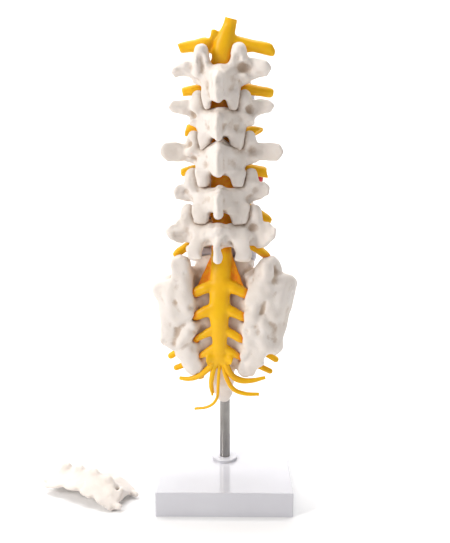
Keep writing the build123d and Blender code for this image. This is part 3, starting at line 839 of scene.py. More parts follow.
def press_ridge(clay, name, rng):
    """The spinous process: a wedge that leaves the roof with a broad fillet and ends in a blunt edge."""
    arch, at = ARCHES[name], arch_place(name, 1)
    top, bottom, out, tip = arch["top"], arch["bottom"], arch["out"], arch["tip"]
    tall = 6.0 if name == "l5" else 7.0
    high, low = min(tip + tall, top - 1), tip - tall
    wedge = [at(-4, -7, top - 4), at(4, -7, top - 4), at(-4, -8, bottom + 2), at(4, -8, bottom + 2)]
    wedge += [at(-1.4, -out, high - 1), at(1.4, -out, high - 1)]
    wedge += [at(-1.8, -out + 0.5, low + 1), at(1.8, -out + 0.5, low + 1)]
    clay.add_hull(wedge, grow=1.3, blend=5.0)
    flank = [(1.6, -out - 4), (9, -out - 4), (3.2, -0.74 * out - 1), (9, -0.74 * out - 1)]
    for side in (-1, 1):
        beside = arch_place(name, side)
        clay.carve_hull([beside(x, y, z) for x, y in flank for z in (low - 4, high + 4)], blend=3.0)
    clay.add_rod(at(-0.3, -out + 1, high - 2.0), at(0.5, -out + 2, low + 2.0), 1.9, 2.4, 3.0)
    shift = rng.uniform(1.8, 3.0)
    clay.carve_rod(at(shift, -6, bottom - 1.5), at(shift + 1.2, -14, bottom - 1.0), 1.6, 2.2, blend=2.5)
    clay.carve_rod(at(-shift - 2.5, -5, bottom - 2.0), at(-shift - 3, -13, bottom - 2.0), 1.3, 1.8, blend=2.5)
    if name == "l5":
        for side in (-1, 1):
            clay.carve_rod(at(side * 7.2, 2, -19.5), at(side * 7.8, -14, -19.5), 3.8, 4.6, blend=3.0)


print("ridges reach back", {name: arch["out"] for name, arch in ARCHES.items()})

# %% The upper joints


def press_joint(clay, name, side, rng):
    """The ear of an upper joint with the knob behind it, and the waist between joint and side process."""
    arch, at = ARCHES[name], arch_place(name, side)
    joint, rise = arch["joint"], arch["rise"]
    lean = rng.uniform(-0.5, 0.8)
    ear = [at(joint + 2.2, 1, -2), at(joint + 9, 1, -1), at(joint + 3, -2.5, 1), at(joint + 8, -3.5, 1)]
    ear += [at(joint + 2.8, 0, rise - 1), at(joint + 6.5 + lean, 0.5, rise - 3)]
    ear += [at(joint + 4.5, -3.2, rise - 2.5)]
    clay.add_hull(ear, grow=1.5, blend=3.0)
    clay.add_rod(at(joint + 7.0, -3.5, 0.15 * rise), at(joint + 6.0, -4.2, 0.55 * rise + lean), 2.4, 2.8, 3.0)
    if name == "l1":
        horn = [at(5.2, -1.5, 6), at(4.8, -3.5, 5), at(joint + 2, -1.0, rise - 2.5)]
        horn += [at(joint + 2, -3.5, rise - 4), at(joint + 6, 0, 6), at(joint + 5, -4, 5)]
        clay.add_hull(horn, grow=1.3, blend=3.0)
        clay.carve_rod(at(joint + 2.5, -6.6, 6), at(joint + 3.5, -6.4, rise - 4), 2.6, 2.2, blend=3.0)
    clay.carve_rod(at(joint + 10.5, -4.5, -6.5), at(joint + 10, 2.0, -8.5), 2.0, 3.0, blend=2.5)


print("joints rise", {name: arch["rise"] for name, arch in ARCHES.items()})

# %% The side processes and the waist


def press_leaf(clay, name, side):
    """A side process: flat convex lumps along it, with hollows pressed into its rear face."""
    at = arch_place(name, side)
    left_lumps, right_lumps, left_dents, right_dents = LEAVES[name]
    lumps, dents = (left_lumps, left_dents) if side < 0 else (right_lumps, right_dents)
    for outline in lumps:
        corners = [at(x, side_depth(x) + y, z) for x, z in outline for y in (-0.9, 0.9)]
        clay.add_hull(corners, grow=1.5, blend=2.5)
    for x, z, radius in dents:
        depth = side_depth(x) - 2.4 - 1.38 * radius
        ends = at(x - 1.5, depth, z), at(x + 1.5, depth - 0.4, z)
        clay.carve_rod(*ends, 1.7 * radius, 1.4 * radius, blend=3.5)


def press_waist(clay, name, rng):
    """The small vessel holes round the waist of the body."""
    for side in (-1, 1):
        for _ in range(3):
            x = side * WIDTHS[name] * (0.38 + 0.1 * rng.random())
            y = DEPTHS[name] * (0.4 * rng.random() - 0.1)
            z = 8.0 * (rng.random() - 0.5)
            clay.carve_rod(bone_point(name, x, y, z), bone_point(name, 1.2 * x, y, z), 0.7, 1.1, blend=1.0)


print("vessel holes:", 6 * len(WIDTHS))

# %% [markdown]
# ## Five bones from one recipe
# The lowest vertebra is made first, and each next one is cut back to leave a hair's gap to the one under
# it, as two castings that touch would still show a line. Every bone has its own seed, so no two have the
# same lumps and pits.

# %% Sculpt the five vertebrae
JOINT_GAP = 0.3
clays = {}


def finish_bone(key, clay, node, seed):
    """Gives a bone its casting's unevenness, meshes it and puts it in the CAD node's place."""
    clay.soften(0.55).lumps(0.30, 8.0, seed).lumps(0.22, 3.2, seed + 1)
    clay.pits(0.6, 2.2, seed + 2, share=1.1)
    piece = clay.mesh("bone_" + key, BONE)
    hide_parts(node)
    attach(piece, "root")
    clays[key] = clay
    return piece


def vertebra(name, seed):
    """The clay of one vertebra, with everything pressed on."""
    rng = np.random.default_rng(seed)
    clay = Clay(*merged_node("vertebra_" + name))
    clay.soften(0.8)
    for side in (-1, 1):
        press_joint(clay, name, side, rng)
        press_roof(clay, name, side)
        press_leaf(clay, name, side)
    press_ridge(clay, name, rng)
    press_waist(clay, name, rng)
    return clay


bones = {}
for i, name in enumerate(ARCHES):
    clay = vertebra(name, 10 * i + 1)
    if name != "l5":
        under = clays[list(ARCHES)[i - 1]]
        clay.keep_clear(under, JOINT_GAP)
    bones[name] = finish_bone(name, clay, "vertebra_" + name, 10 * i + 2)

# %% [markdown]
# ## The sacrum, the coccyx and the crest
# The back of the sacrum is the roughest bone here: ligaments pull it into ridges, hollows and knobs. They
# are drawn as strokes on its rear face, each with its own width and height in millimetres, while the
# pelvic face stays smoother and only shows the four lines where its segments have grown together.

# %% Strokes on the sacrum
REAR = world_point(0, 1, 0) - world_point(0, 0, 0)
REAR_STROKES = [
    ([(-26, -33, 181), (-24, -34, 167), (-26, -36, 157)], 3.2, 0.9),
    ([(-19.8, -33, 184), (-18.5, -34, 173), (-17.5, -35, 167)], 1.7, -1.6),
    ([(-44, -25, 165), (-36, -31, 158), (-34, -35, 145)], 2.8, 1.0),
    ([(-31, -35, 154), (-27, -36, 147)], 3.4, -0.8),
    ([(-17, -38, 141.6), (-24, -38, 139.6), (-28.7, -37, 134.7), (-32.7, -34, 123)], 1.7, -1.9),
    ([(-18, -39, 136.7), (-23, -38, 130.8), (-28, -36, 125)], 2.2, 1.3),
    ([(-17.5, -38, 127), (-24, -36, 123), (-30.8, -33, 118)], 1.6, -1.5),
    ([(-19.5, -35, 117), (-24, -33, 109), (-22, -31, 102)], 2.6, 1.1),
    ([(28.3, -33, 183), (27.4, -34, 173)], 1.6, -1.1),
    ([(32.7, -35, 156), (30.9, -36, 148.5)], 1.1, -1.7),
    ([(29.5, -36, 147.5), (26.8, -37, 137), (27.8, -37, 133)], 1.7, -1.3),
    ([(46, -22, 170), (42.6, -27, 158), (44.5, -28, 145)], 2.8, 1.1),
    ([(34.3, -34, 144.6), (39, -31, 137), (40.2, -30, 127)], 2.0, -1.3),
    ([(27.8, -37, 131), (35.5, -33, 122), (42, -28, 122)], 2.2, 1.1),
    ([(23.2, -36, 119), (18, -34, 109), (18, -31, 101)], 1.5, -1.3),
    ([(20.4, -38, 125), (20, -36, 116)], 2.2, 0.9),
    ([(36, -31, 166), (30, -36, 163)], 2.4, 0.8),
    ([(-38, -29, 150), (-42, -25, 140)], 2.6, 0.9),
    ([(-37, -28, 134), (-40, -24, 126)], 2.4, 0.9),
]
FUSION_LINES = [(150, -8), (136.5, -13.5), (123, -16), (110, -15)]
PINHOLES = [(14.5, 154), (-13.7, 121), (10.9, 119), (-14.3, 104), (-14, 150), (13, 135)]
# The sacrum's outline from behind, as x and z of the row frame: its left side, the coccyx, its right side
LEFT_SIDE = [
    (-24.6, 185.7), (-32, 188.9), (-38, 186), (-39.2, 180.9), (-37.8, 176), (-37.2, 170.6), (-41.7, 168.8),
    (-47.9, 167.4), (-52, 165.4), (-53.4, 161.5), (-51.9, 157.6), (-47.9, 153.7), (-47, 147.5), (-47, 141.9),
    (-46.2, 136.3), (-47.2, 130), (-48.3, 124.1), (-46.3, 119.9), (-41.2, 118.4), (-37, 117), (-36, 113.2),
    (-33.6, 109), (-32.2, 103.3), (-29.8, 99.3), (-25.4, 96.6), (-21, 97.2), (-18.5, 100.4),
]
RIGHT_SIDE = [
    (18, 100), (20.5, 95.8), (23.6, 98), (27, 108), (29.4, 115.4), (31, 118.5), (33.5, 117.6), (37, 115),
    (41.6, 115.6), (43.5, 120.8), (43.2, 126.5), (45.2, 132.2), (47.7, 139.3), (48.5, 146.4), (50.8, 153.4),
    (52.7, 160.3), (52.9, 166.6), (50.4, 171.4), (44.8, 173.4), (41.9, 174.6), (42.4, 178.3), (40.7, 183.4),
    (35.8, 188.4), (28, 186),
]
COCCYX_SIDES = [
    (-15, 99), (-14.5, 90), (-11.5, 85), (-12, 81), (-8, 76.5), (-5.5, 69),
    (4, 69), (6.5, 77), (10.5, 82), (10, 86), (14.5, 90),
]
print("strokes on the rear:", len(REAR_STROKES))

# %% [markdown]
# ## Carving the sacrum
# A plate of each side's outline fills the wings, and then everything outside the whole outline is cut
# away, so the silhouette is right before any detail goes on. Random short strokes between the drawn ones
# give the muscle marks that nobody would draw one by one.

# %% Sculpt the sacrum


def wing_middle(z):
    """The y of the middle of the side mass at each height, in the row frame."""
    return np.interp(z, [99, 113, 134, 159, 176, 188], [-16.0, -21.5, -22.0, -17.0, -20.0, -27.0])


def drawn_in(outline, step):
    """An outline with each of its points moved a step towards the middle plane."""
    return [(x - step if x > 0 else x + step, z) for x, z in outline]


def sacrum():
    """The clay of the sacrum and the coccyx."""
    rng = np.random.default_rng(100)
    clay = Clay(*merged_node("sacrum"))
    clay.soften(1.0)
    left = LEFT_SIDE + [(-22, 112), (-23, 140), (-25, 165), (-26, 178)]
    right = RIGHT_SIDE + [(26, 178), (24, 165), (21, 140), (19, 112)]
    for half in (left, right):
        clay.add_plate(drawn_in(half, 1.2), wing_middle, 4.6, blend=4.0)
    clay.trim(LEFT_SIDE + COCCYX_SIDES + RIGHT_SIDE + [(22, 192), (-22, 192)])
    for places, width, height in REAR_STROKES:
        clay.stroke([world_point(*p) for p in places], REAR, 1.35 * width, 1.15 * height)
    for _ in range(20):
        x = rng.uniform(20, 46) * rng.choice((-1, 1))
        z = rng.uniform(104, 178)
        turn = rng.uniform(0, 3.1)
        run = rng.uniform(1, 4)
        mark = [world_point(x, -34, z), world_point(x + run * cos(turn), -34, z + run * sin(turn))]
        clay.stroke(mark, REAR, rng.uniform(1.8, 3.4), rng.uniform(-0.8, 0.8), 9.0)
    for z, y in FUSION_LINES:
        line = [world_point(-13, y, z - 1), world_point(0, y, z), world_point(13, y, z - 1)]
        clay.stroke(line, REAR, 1.3, 0.8, 7.0)
    for x, z in PINHOLES:
        clay.carve_rod(world_point(x, -31, z), world_point(x, -23, z + 1), 0.9, 0.7, blend=0.8)
    return clay.soften(0.8).lumps(0.45, 6.5, 105)


clay = sacrum()
clay.keep_clear(clays["l5"], JOINT_GAP)
bones["sacrum"] = finish_bone("sacrum", clay, "sacrum", 101)

# %% [markdown]
# ## The crest on the table
# The crest is the same plastic as the sacrum that it came off. Its ridge, horns and hollow come from the
# CAD, so it only needs softened edges and the same unevenness.

# %% Sculpt the crest
clay = Clay(*merged_node("sacral_crest"))
clay.soften(0.9)
bones["crest"] = finish_bone("crest", clay, "sacral_crest", 111)

# %% [markdown]
# ## Discs and the prolapse
# The discs are soft rubber rings between the bodies, a little fuller than the bones beside them. Their CAD
# shape is right, so they are only rounded and made uneven. The prolapse is a red bead pressed out of one
# disc, and a short rod draws it out to the side, where it is seen from behind.

# %% Soft discs
DISCS = ["disc_l1_l2", "disc_l2_l3", "disc_l3_l4", "disc_l4_l5", "disc_l5_s1"]
for i, node in enumerate(DISCS):
    clay = Clay(*merged_node(node))
    clay.soften(0.6).lumps(0.25, 6.0, 130 + i).lumps(0.1, 2.5, 140 + i)
    soft = clay.mesh("soft_" + node, DISC)
    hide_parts(node)
    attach(soft, "root")

clay = Clay(*merged_node("disc_prolapse"))
clay.soften(0.5).add_rod((24.4, -8.0, 241.2), (27.0, -9.5, 238.8), 3.5, 3.7, 2.0).lumps(0.3, 3.0, 150)
soft = clay.mesh("soft_prolapse", PROLAPSE)
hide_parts("disc_prolapse")
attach(soft, "root")

# %% [markdown]
# ## The dural sac and its nerves
# The real piece is one soft moulding: a sac that fills the canal, a pair of roots at each level, and four
# pairs of branches in the open sacrum. It is finer than the bones, so its clay has smaller voxels. Every
# root ends in a blunt cut, as the mould leaves it.

# %% Where the sac and its roots lie
SAC_HEIGHTS = [98, 113, 134, 159, 176, 192]
SAC_REARS = [-30.5, -34.5, -37.3, -35.6, -31.5, -26.0]
# The free end of each root seen from behind, as x and z of the row frame, on the left and on the right
ROOT_ENDS = {
    "t12": ((-30.5, 330.0), (34.5, 326.5)),
    "l1": ((-30.0, 302.0), (34.0, 300.0)),
    "l2": ((-27.6, 277.5), (20.0, 268.0)),
    "l3": ((-31.5, 245.5), (29.5, 246.5)),
    "l4": ((-30.5, 213.5), (31.5, 207.5)),
}


def sac_rear(z):
    """The y of the rear of the dural sac in the sacral canal, in the spine's own axes."""
    return float(np.interp(z, SAC_HEIGHTS, SAC_REARS))


print("roots:", 2 * len(ROOT_ENDS))

# %% The top of the sac and the lumbar roots


def shape_top(clay):
    """The web from the sac's slanted top to the left root, and both top roots made thicker at the sac."""
    web = [(4, -14, 344), (5, -14, 331), (-4, -16, 331), (-10, -17, 331)]
    clay.add_hull([world_point(x, y + off, z) for x, y, z in web for off in (-1, 1)], 2.2, 4)
    clay.carve_rod(world_point(-4.2, -22, 344.6), world_point(-3.6, -4, 344.6), 4.2, 4.6, 2.0)
    clay.carve_rod(world_point(-10.5, -24, 339.5), world_point(-10.5, -4, 339.5), 4.0, 4.4, 2.0)
    for a, b in [((-6, -17, 332), (-16, -16, 330)), ((7, -16, 333), (17, -16, 331))]:
        clay.add_rod(world_point(*a), world_point(*b), 3.2, 2.9, 5.0)
    for name in ("l1", "l2", "l3", "l4"):
        rear = -DEPTHS[name] / 2 - 7.6
        for side in (-1, 1):
            ends = bone_point(name, side * 4.4, rear, 8), bone_point(name, side * 4.6, rear, -13)
            clay.add_rod(*ends, 4.5, 4.6, 2.0)


def shape_roots(clay):
    """Each lumbar root made as thick and as long as it is, with a blunt cut end."""
    for name, ends in ROOT_ENDS.items():
        rear = -DEPTHS[name] / 2 - 7.3
        for side, (x, z) in zip((-1, 1), ends):
            start = bone_point(name, side * 11, rear + 1.4, -6.2)
            end = np.array((x, bone_point(name, side * 28, rear + 1.2, -10)[1], z))
            onward = (end - start) / np.linalg.norm(end - start)
            clay.add_rod(start, end - 2.4 * onward, 3.5, 2.6, 3.0)
            old = bone_point(name, side * 33, rear + 0.5, {"l4": -17, "l3": -11}.get(name, -9.5))
            if np.linalg.norm(old - end) > 7:
                away = (old - end) / np.linalg.norm(old - end)
                clay.carve_rod(end + 6.8 * away, old + 3 * away, 5.0, 5.4, 1.0)
            clay.carve_rod(end + 5.6 * onward, end + 10 * onward, 5.6, 5.6, 0.8)


print("root levels:", ", ".join(ROOT_ENDS))

# %% The branches in the sacrum


def shape_branches(clay):
    """Fillets where the sacral branches leave the sac, the flaps of the first pair and a full foot."""
    for z, x in [(160.5, 18), (143.5, 17), (127.5, 16), (113.5, 14)]:
        for side in (-1, 1):
            y = sac_rear(z) + 4.5
            thick = 2.3 if z > 130 else 1.9
            ends = world_point(side * 2.5, y, z + 7), world_point(side * 0.55 * x, y - 0.6, z + 3.6)
            clay.add_rod(*ends, thick, thick, 4.0)
    flap = [(3, -20.5, 190), (6.5, -21.5, 187), (9.6, -24.5, 176)]
    flap += [(17.0, -28.5, 163), (15, -29, 160.5), (5, -27, 166)]
    for side in (-1, 1):
        sheet = [world_point(side * x, y + off, z) for x, y, z in flap for off in (-0.5, 0.5)]
        clay.add_hull(sheet, 0.7, 1.5)
        foot = world_point(side * 1.5, -31.5, 113), world_point(side * 4.5, -30.2, 106.5)
        clay.add_rod(*foot, 3.0, 2.3, 2.5)


def clear_strands(clay):
    """Cuts away the CAD's plain strands below the sac, which the swept ones take the place of."""
    paths = [((7.5, -29, 101.5), (34, -24, 93)), ((9, -30, 96), (16, -28, 80))]
    paths += [((2, -30, 97.5), (9, -30, 92)), ((12, -28, 90), (34, -25, 82))]
    for side in (-1, 1):
        for (ax, ay, az), (bx, by, bz) in paths:
            clay.carve_rod(world_point(side * ax, ay, az), world_point(side * bx, by, bz), 4.5, 5.0, 1.0)
        clay.carve_rod(world_point(side * 8.4, -30, 109.5), world_point(side * 8.4, -29, 100), 3.2, 4.0, 1.0)
    clay.carve_rod(world_point(0, -30, 96.5), world_point(-5, -25, 84), 5.0, 6.0, 1.0)
    clay.carve_rod(world_point(-7, -26, 84), world_point(-28, -22, 66), 6.0, 6.0, 1.0)


print("voxel of the nerves", FINE_VOXEL, "mm")

# %% Mould the sac and the nerve ends
clay = Clay(*merged_node("dura_and_nerves"), voxel=FINE_VOXEL)
clear_strands(clay)
clay.soften(1.2, keep=0.6)
shape_top(clay)
shape_roots(clay)
shape_branches(clay)
clay.lumps(0.22, 8.0, 161).lumps(0.1, 3.0, 162)
nerves = clay.mesh("nerve_moulding", NERVE)
clays["nerves"] = clay
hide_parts("dura_and_nerves")
clay = Clay(*merged_node("sacral_nerve_ends"))
clay.soften(0.5).lumps(0.15, 5.0, 163)
ends = clay.mesh("nerve_ends", NERVE)
clays["ends"] = clay
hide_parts("sacral_nerve_ends")

# %% [markdown]
# ## The strands at the foot of the sac
# Below the last branches the sac frays into five free strands: the fifth pair, the coccygeal pair and a
# fine thread in the middle. A small node tree turns each path into a strand: it smooths the path, sweeps
# a round section along it with the thickness given at each point, and lays a slight waver over it.

# %% A node tree for strands
# Each strand's points in the spine's own axes, x, y and z, with the radius there
STRANDS = [
    [
        (-1.5, -31, 114, 2.2), (-5.0, -31, 108, 2.1), (-10.0, -29.5, 102, 2.0),
        (-16.0, -28, 96.8, 1.9), (-24.0, -27, 93.6, 1.5), (-31.0, -26, 93.6, 1.0),
    ],
    [
        (1.5, -31, 114, 2.2), (4.5, -31, 107, 2.1), (7.5, -30, 100, 2.1),
        (13.0, -28.5, 95.2, 2.2), (21.0, -27, 94.0, 1.7), (33.0, -26, 96.6, 0.9),
    ],
    [
        (-2.2, -30, 110, 1.5), (-4.5, -30, 104, 1.5), (-6.2, -30, 97, 1.6),
        (-6.8, -29.5, 90, 1.5), (-6.0, -28.5, 84, 1.1),
    ],
    [
        (2.0, -30, 110, 1.4), (2.8, -30, 103, 1.4), (5.2, -29.5, 95, 1.4),
        (9.5, -29, 88, 1.4), (17.0, -28, 84.5, 1.3), (28.5, -27, 83.8, 0.9),
    ],
    [
        (-0.2, -30.5, 110, 0.9), (-1.0, -30.5, 100, 0.85), (-1.6, -30, 90, 0.8),
        (-2.8, -29, 80, 0.75), (-8.5, -27, 73, 0.7), (-20.0, -25, 69.5, 0.6),
    ],
]
# A strand is this much thicker than its points say, so that it reads from a distance
EXTRA_RADIUS = 0.45


def strand_tree():
    """Nodes that turn paths into round strands with a slight waver."""
    tree = bpy.data.node_groups.new("nerve_strands", "GeometryNodeTree")
    for title, kind, default in [
        ("Geometry", "NodeSocketGeometry", None),
        ("Sides", "NodeSocketInt", 14),
        ("Step", "NodeSocketFloat", 0.0009),
        ("Waver", "NodeSocketFloat", 0.0005),
        ("Seed", "NodeSocketFloat", 7.0),
        ("Material", "NodeSocketMaterial", None),
    ]:
        socket = tree.interface.new_socket(title, in_out="INPUT", socket_type=kind)
        if default is not None:
            socket.default_value = default
    tree.interface.new_socket("Geometry", in_out="OUTPUT", socket_type="NodeSocketGeometry")
    add, link = tree.nodes.new, tree.links.new
    given, result = add("NodeGroupInput"), add("NodeGroupOutput")
    curve = add("GeometryNodeMeshToCurve")
    spline = add("GeometryNodeCurveSplineType")
    spline.spline_type = "BEZIER"
    handles = add("GeometryNodeCurveSetHandles")
    handles.handle_type = "AUTO"
    even = add("GeometryNodeResampleCurve")
    even.mode = "LENGTH"
    noise = add("ShaderNodeTexNoise")
    noise.noise_dimensions = "4D"
    noise.inputs["Scale"].default_value = 90.0
    centred = add("ShaderNodeVectorMath")
    centred.operation = "SUBTRACT"
    centred.inputs[1].default_value = (0.5, 0.5, 0.5)
    scaled = add("ShaderNodeVectorMath")
    scaled.operation = "SCALE"
    shift = add("GeometryNodeSetPosition")
    thick = add("GeometryNodeInputNamedAttribute")
    thick.data_type = "FLOAT"
    thick.inputs["Name"].default_value = "thick"
    section = add("GeometryNodeCurvePrimitiveCircle")
    section.inputs["Radius"].default_value = 1.0
    sweep = add("GeometryNodeCurveToMesh")
    sweep.inputs["Fill Caps"].default_value = True
    smooth = add("GeometryNodeSetShadeSmooth")
    paint = add("GeometryNodeSetMaterial")
    real = add("GeometryNodeRealizeInstances")
    link(given.outputs["Geometry"], curve.inputs["Mesh"])
    link(curve.outputs["Curve"], spline.inputs["Curve"])
    link(spline.outputs["Curve"], handles.inputs["Curve"])
    link(handles.outputs["Curve"], even.inputs["Curve"])
    link(given.outputs["Step"], even.inputs["Length"])
    link(given.outputs["Seed"], noise.inputs["W"])
    link(noise.outputs["Color"], centred.inputs[0])
    link(centred.outputs["Vector"], scaled.inputs[0])
    link(given.outputs["Waver"], scaled.inputs["Scale"])
    link(even.outputs["Curve"], shift.inputs["Geometry"])
    link(scaled.outputs["Vector"], shift.inputs["Offset"])
    link(given.outputs["Sides"], section.inputs["Resolution"])
    link(shift.outputs["Geometry"], sweep.inputs["Curve"])
    link(section.outputs["Curve"], sweep.inputs["Profile Curve"])
    link(thick.outputs["Attribute"], sweep.inputs["Scale"])
    link(sweep.outputs["Mesh"], smooth.inputs["Geometry"])
    link(smooth.outputs["Geometry"], real.inputs["Geometry"])
    link(real.outputs["Geometry"], paint.inputs["Geometry"])
    link(given.outputs["Material"], paint.inputs["Material"])
    link(paint.outputs["Geometry"], result.inputs["Geometry"])
    return tree


def grow_strands(tree):
    """The five strands, as one plain mesh."""
    paths = bpy.data.meshes.new("strand_paths")
    corners, edges, widths = [], [], []
    for path in STRANDS:
        edges += [(len(corners) + i, len(corners) + i + 1) for i in range(len(path) - 1)]
        corners += [tuple(world_point(*spot[:3]) * MM) for spot in path]
        widths += [(0.9 * spot[3] + EXTRA_RADIUS) * MM for spot in path]
    paths.from_pydata(corners, edges, [])
    paths.attributes.new("thick", "FLOAT", "POINT").data.foreach_set("value", widths)
    guide = bpy.data.objects.new("strand_guide", paths)
    bpy.context.scene.collection.objects.link(guide)
    modifier = guide.modifiers.new("strands", "NODES")
    modifier.node_group = tree
    for socket in tree.interface.items_tree:
        if socket.in_out == "INPUT" and socket.name == "Material":
            modifier[socket.identifier] = NERVE
    evaluated = guide.evaluated_get(bpy.context.evaluated_depsgraph_get())
    grown = bpy.data.meshes.new_from_object(evaluated)
    bpy.data.objects.remove(guide)
    grown.name = "nerve_strands"
    piece = bpy.data.objects.new("nerve_strands", grown)
    bpy.context.scene.collection.objects.link(piece)
    print("strands:", len(STRANDS), "paths,", len(grown.polygons), "faces")
    return piece


strands = grow_strands(strand_tree())
for piece in (nerves, ends, strands):
    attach(piece, "root")

# %% [markdown]
# ## Where pieces meet
# The darker tone runs into the gap between two pieces. Each piece's seam attribute says how near its
# neighbours are, read from their volumes, and the wash group turns it into brown. On the bones this is a line
# at each joint, partly painted shade in the gap. On the nerves it is painted shade: it reaches further, and
# the sac is painted a deep orange where it lies in shade between the laminae and on the far side of its
# branches in the sacrum.

# %% Mark the seams and the painted shade


def mark_seams(piece, own, others, reach, power=0.7, extra=None):
    """Writes how near each point of a piece lies to its neighbours, fading out over a reach, with the painted
    shade of extra laid over it.
    """
    points = clays[own].points
    nearest = np.full(len(points), BAND, np.float32)
    for other in others:
        nearest = np.minimum(nearest, clays[other].read(clays[other].field, points))
    values = np.clip(1 - np.maximum(nearest, 0) / reach, 0, 1) ** power
    if extra is not None:
        values = np.maximum(values, extra(points))
    piece.data.attributes["seam"].data.foreach_set("value", values.astype(np.float32))
    print(piece.name, "seam points", int((values > 0).sum()))


def painted_sac_shade(points):
    """Painted shade on the sac: a deep orange behind the laminae, where it lies in shade, and on the far side
    of its branches below.
    """
    x, y, z = points.T
    inner = np.clip((12.5 - np.abs(x + 3)) / 3, 0, 1)
    behind = inner * np.clip((z - 188) / 5, 0, 1) * np.clip((322 - z) / 6, 0, 1)
    depth = y - SET_BACK + x * sin(TURN) - np.interp(z, SAC_HEIGHTS, SAC_REARS)
    return np.maximum(0.9 * behind, np.clip((depth - 3.5) / 1.5, 0, 1) * (z < 190) * (z > 104))


COLUMN = ["sacrum", "l5", "l4", "l3", "l2", "l1"]
for i, key in enumerate(COLUMN):
    neighbours = [other for other in COLUMN[max(i - 1, 0) : i + 2] if other != key]
    # On the bones it is a brown line at each joint, partly painted shade in the gap
    mark_seams(bones[key], key, neighbours, 3.2, power=1.3)
# On the nerves it is painted shade: near the bones, in the windows between the laminae and where the nerve
# ends enter the sacrum
mark_seams(nerves, "nerves", COLUMN, 2.6, power=0.9, extra=painted_sac_shade)
mark_seams(ends, "ends", ["sacrum"], 2.0)

# %% [markdown]
# ## The stand
# The block is glossy acrylic, the rod satin steel. Their shapes are right as they come from the CAD, so
# they keep their nodes and only get a finish. Brushed or turned steel is a noise pulled long in one
# direction, which drives both the roughness and a faint bump.

# %% Acrylic and steel


def acrylic():
    """A glossy white with a clear coat and the faintest clouds."""
    material, tree, shader = shader_of(
        "acrylic_white", Specular_IOR_Level=0.6, Coat_Weight=0.6, Coat_Roughness=0.04
    )
    place = tree.nodes.new("ShaderNodeTexCoord").outputs["Object"]
    cloud = noise_node(tree, place, 25.0, detail=3.0)
    share = map_range(tree, cloud.outputs["Fac"], 0.3, 0.7)
    colour = mix_colour(tree, share, (0.66, 0.66, 0.705), (0.62, 0.615, 0.665))
    tree.links.new(colour, shader.inputs["Base Color"])
    fine = noise_node(tree, place, 160.0, detail=6.0, roughness=0.7)
    tree.links.new(map_range(tree, fine.outputs["Fac"], 0.3, 0.8, 0.10, 0.24), shader.inputs["Roughness"])
    add_bump(tree, shader, cloud.outputs["Fac"], 0.12, 0.0006)
    return material


def steel(name, stretch, low, high, light=(0.56, 0.56, 0.575), dark=(0.47, 0.47, 0.485)):
    """Steel whose fine lines follow the stretch, between a low and a high roughness."""
    material, tree, shader = shader_of(name, Metallic=1.0)
    place = tree.nodes.new("ShaderNodeTexCoord").outputs["Object"]
    pull = tree.nodes.new("ShaderNodeMapping")
    pull.inputs["Scale"].default_value = stretch
    tree.links.new(place, pull.inputs["Vector"])
    lines = noise_node(tree, pull.outputs["Vector"], 900.0, detail=4.0, roughness=0.6)
    wide = noise_node(tree, place, 70.0)
    share = map_range(tree, wide.outputs["Fac"], 0.3, 0.7)
    tree.links.new(mix_colour(tree, share, light, dark), shader.inputs["Base Color"])
    tree.links.new(map_range(tree, lines.outputs["Fac"], 0.3, 0.7, low, high), shader.inputs["Roughness"])
    add_bump(tree, shader, lines.outputs["Fac"], 0.15, 0.0002)
    return material


def dress(node, material):
    """Gives a CAD node its finish and leaves its shape alone."""
    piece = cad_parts[node]
    piece.data.materials.clear()
    piece.data.materials.append(material)


ACRYLIC = acrylic()
ROD_STEEL = steel("steel_satin", (1.0, 1.0, 0.05), 0.28, 0.42, (0.34, 0.325, 0.31), (0.26, 0.25, 0.24))
BOLT_STEEL = steel("steel_turned", (1.0, 1.0, 3.0), 0.22, 0.36)
FINISHES = {
    ACRYLIC: ("base_plate", "rod_collar"),
    ROD_STEEL: ("stand_rod", "core_rod"),
    BOLT_STEEL: ("base_screw", "core_washer", "core_nut"),
}
for material, nodes in FINISHES.items():
    for node in nodes:
        dress(node, material)
    print(material.name, "on", ", ".join(nodes))

# %% [markdown]
# ## Floor, light and camera
# A product is photographed on a sheet that curves up into a wall, so that no horizon shows. A large soft
# light from the left shapes the bones, a weaker one from the right opens the shadows, one comes from
# above, and a last one whitens the wall.

# %% The backdrop


def backdrop():
    """The sheet: a floor that bends up into a wall behind the model."""
    half, bend, radius, rise = 2.2, 0.9, 0.7, 2.4
    profile = [(-1.6, 0.0), (bend, 0.0)]
    profile += [(bend + radius * sin(radians(a)), radius * (1 - cos(radians(a)))) for a in range(6, 91, 6)]
    profile.append((bend + radius, rise))
    corners = [(x, y, z) for y, z in profile for x in (-half, half)]
    faces = [(2 * i, 2 * i + 1, 2 * i + 3, 2 * i + 2) for i in range(len(profile) - 1)]
    made = bpy.data.meshes.new("backdrop")
    made.from_pydata(corners, [], faces)
    made.polygons.foreach_set("use_smooth", [True] * len(faces))
    piece = bpy.data.objects.new("backdrop", made)
    bpy.context.scene.collection.objects.link(piece)
    material, tree, shader = shader_of("backdrop_white", Specular_IOR_Level=0.2)
    place = tree.nodes.new("ShaderNodeTexCoord").outputs["Object"]
    cloud = noise_node(tree, place, 3.0)
    share = map_range(tree, cloud.outputs["Fac"], 0.3, 0.7)
    white = mix_colour(tree, share, (0.93, 0.93, 0.935), (0.90, 0.90, 0.905))
    tree.links.new(white, shader.inputs["Base Color"])
    tree.links.new(map_range(tree, cloud.outputs["Fac"], 0.3, 0.7, 0.4, 0.55), shader.inputs["Roughness"])
    made.materials.append(material)


backdrop()

# %% The lights


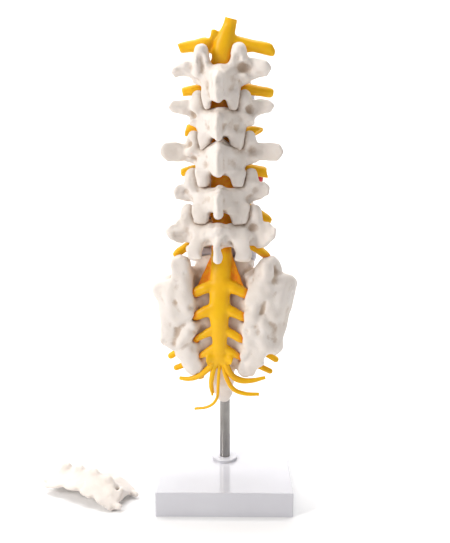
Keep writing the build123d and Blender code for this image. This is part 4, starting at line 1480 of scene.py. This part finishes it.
def soft_light(name, place, target, size, power, colour=(1, 1, 1)):
    """A rectangular soft light that looks at a target."""
    lamp = bpy.data.lights.new(name, "AREA")
    lamp.shape = "RECTANGLE"
    lamp.size, lamp.size_y = size
    lamp.energy = power
    lamp.color = colour
    made = bpy.data.objects.new(name, lamp)
    made.location = place
    made.rotation_euler = (Vector(target) - Vector(place)).to_track_quat("-Z", "Y").to_euler()
    bpy.context.scene.collection.objects.link(made)


def studio_world(shed, strength):
    """A plain, warm light from all round."""
    world = bpy.data.worlds.new("studio")
    world.use_nodes = True
    background = world.node_tree.nodes["Background"]
    background.inputs["Color"].default_value = (*shed, 1)
    background.inputs["Strength"].default_value = strength
    bpy.context.scene.world = world


soft_light("key_left", (-1.0, -0.55, 0.75), (0, 0, 0.2), (0.45, 0.6), 10.0, (1.0, 0.975, 0.945))
soft_light("fill_right", (1.0, -0.6, 0.4), (0, 0, 0.18), (0.8, 0.8), 0.8)
soft_light("top", (-0.1, 0.1, 1.2), (0, 0, 0.1), (0.8, 0.8), 3.0)
soft_light("wall", (0, 0.35, 1.5), (0, 1.5, 0.5), (2.4, 0.5), 36.0)
studio_world((1.0, 0.98, 0.955), 0.38)
bpy.context.scene.view_settings.view_transform = "Standard"

# %% [markdown]
# ## The camera
# It stands where the photograph was taken from: behind the spine, slightly above its middle, and looking
# a little down. The lens follows from how many pixels high the picture is and how wide the block shows.

# %% Camera
TALL = 543
SENSOR = 24.0
CAMERA_PLACE = Vector((0.005, -0.467, 0.254))
PITCH = 10.0
LENS_PIXELS = 628.0
camera = bpy.data.cameras.new("camera")
camera.sensor_fit = "VERTICAL"
camera.sensor_height = SENSOR
camera.lens = LENS_PIXELS / TALL * SENSOR
camera.clip_start = 0.01
viewer = bpy.data.objects.new("camera", camera)
viewer.location = CAMERA_PLACE
viewer.rotation_euler = (radians(90.0 - PITCH), 0, radians(0.6))
bpy.context.scene.collection.objects.link(viewer)
bpy.context.scene.camera = viewer
print("lens", round(camera.lens, 1), "mm")

# %% [markdown]
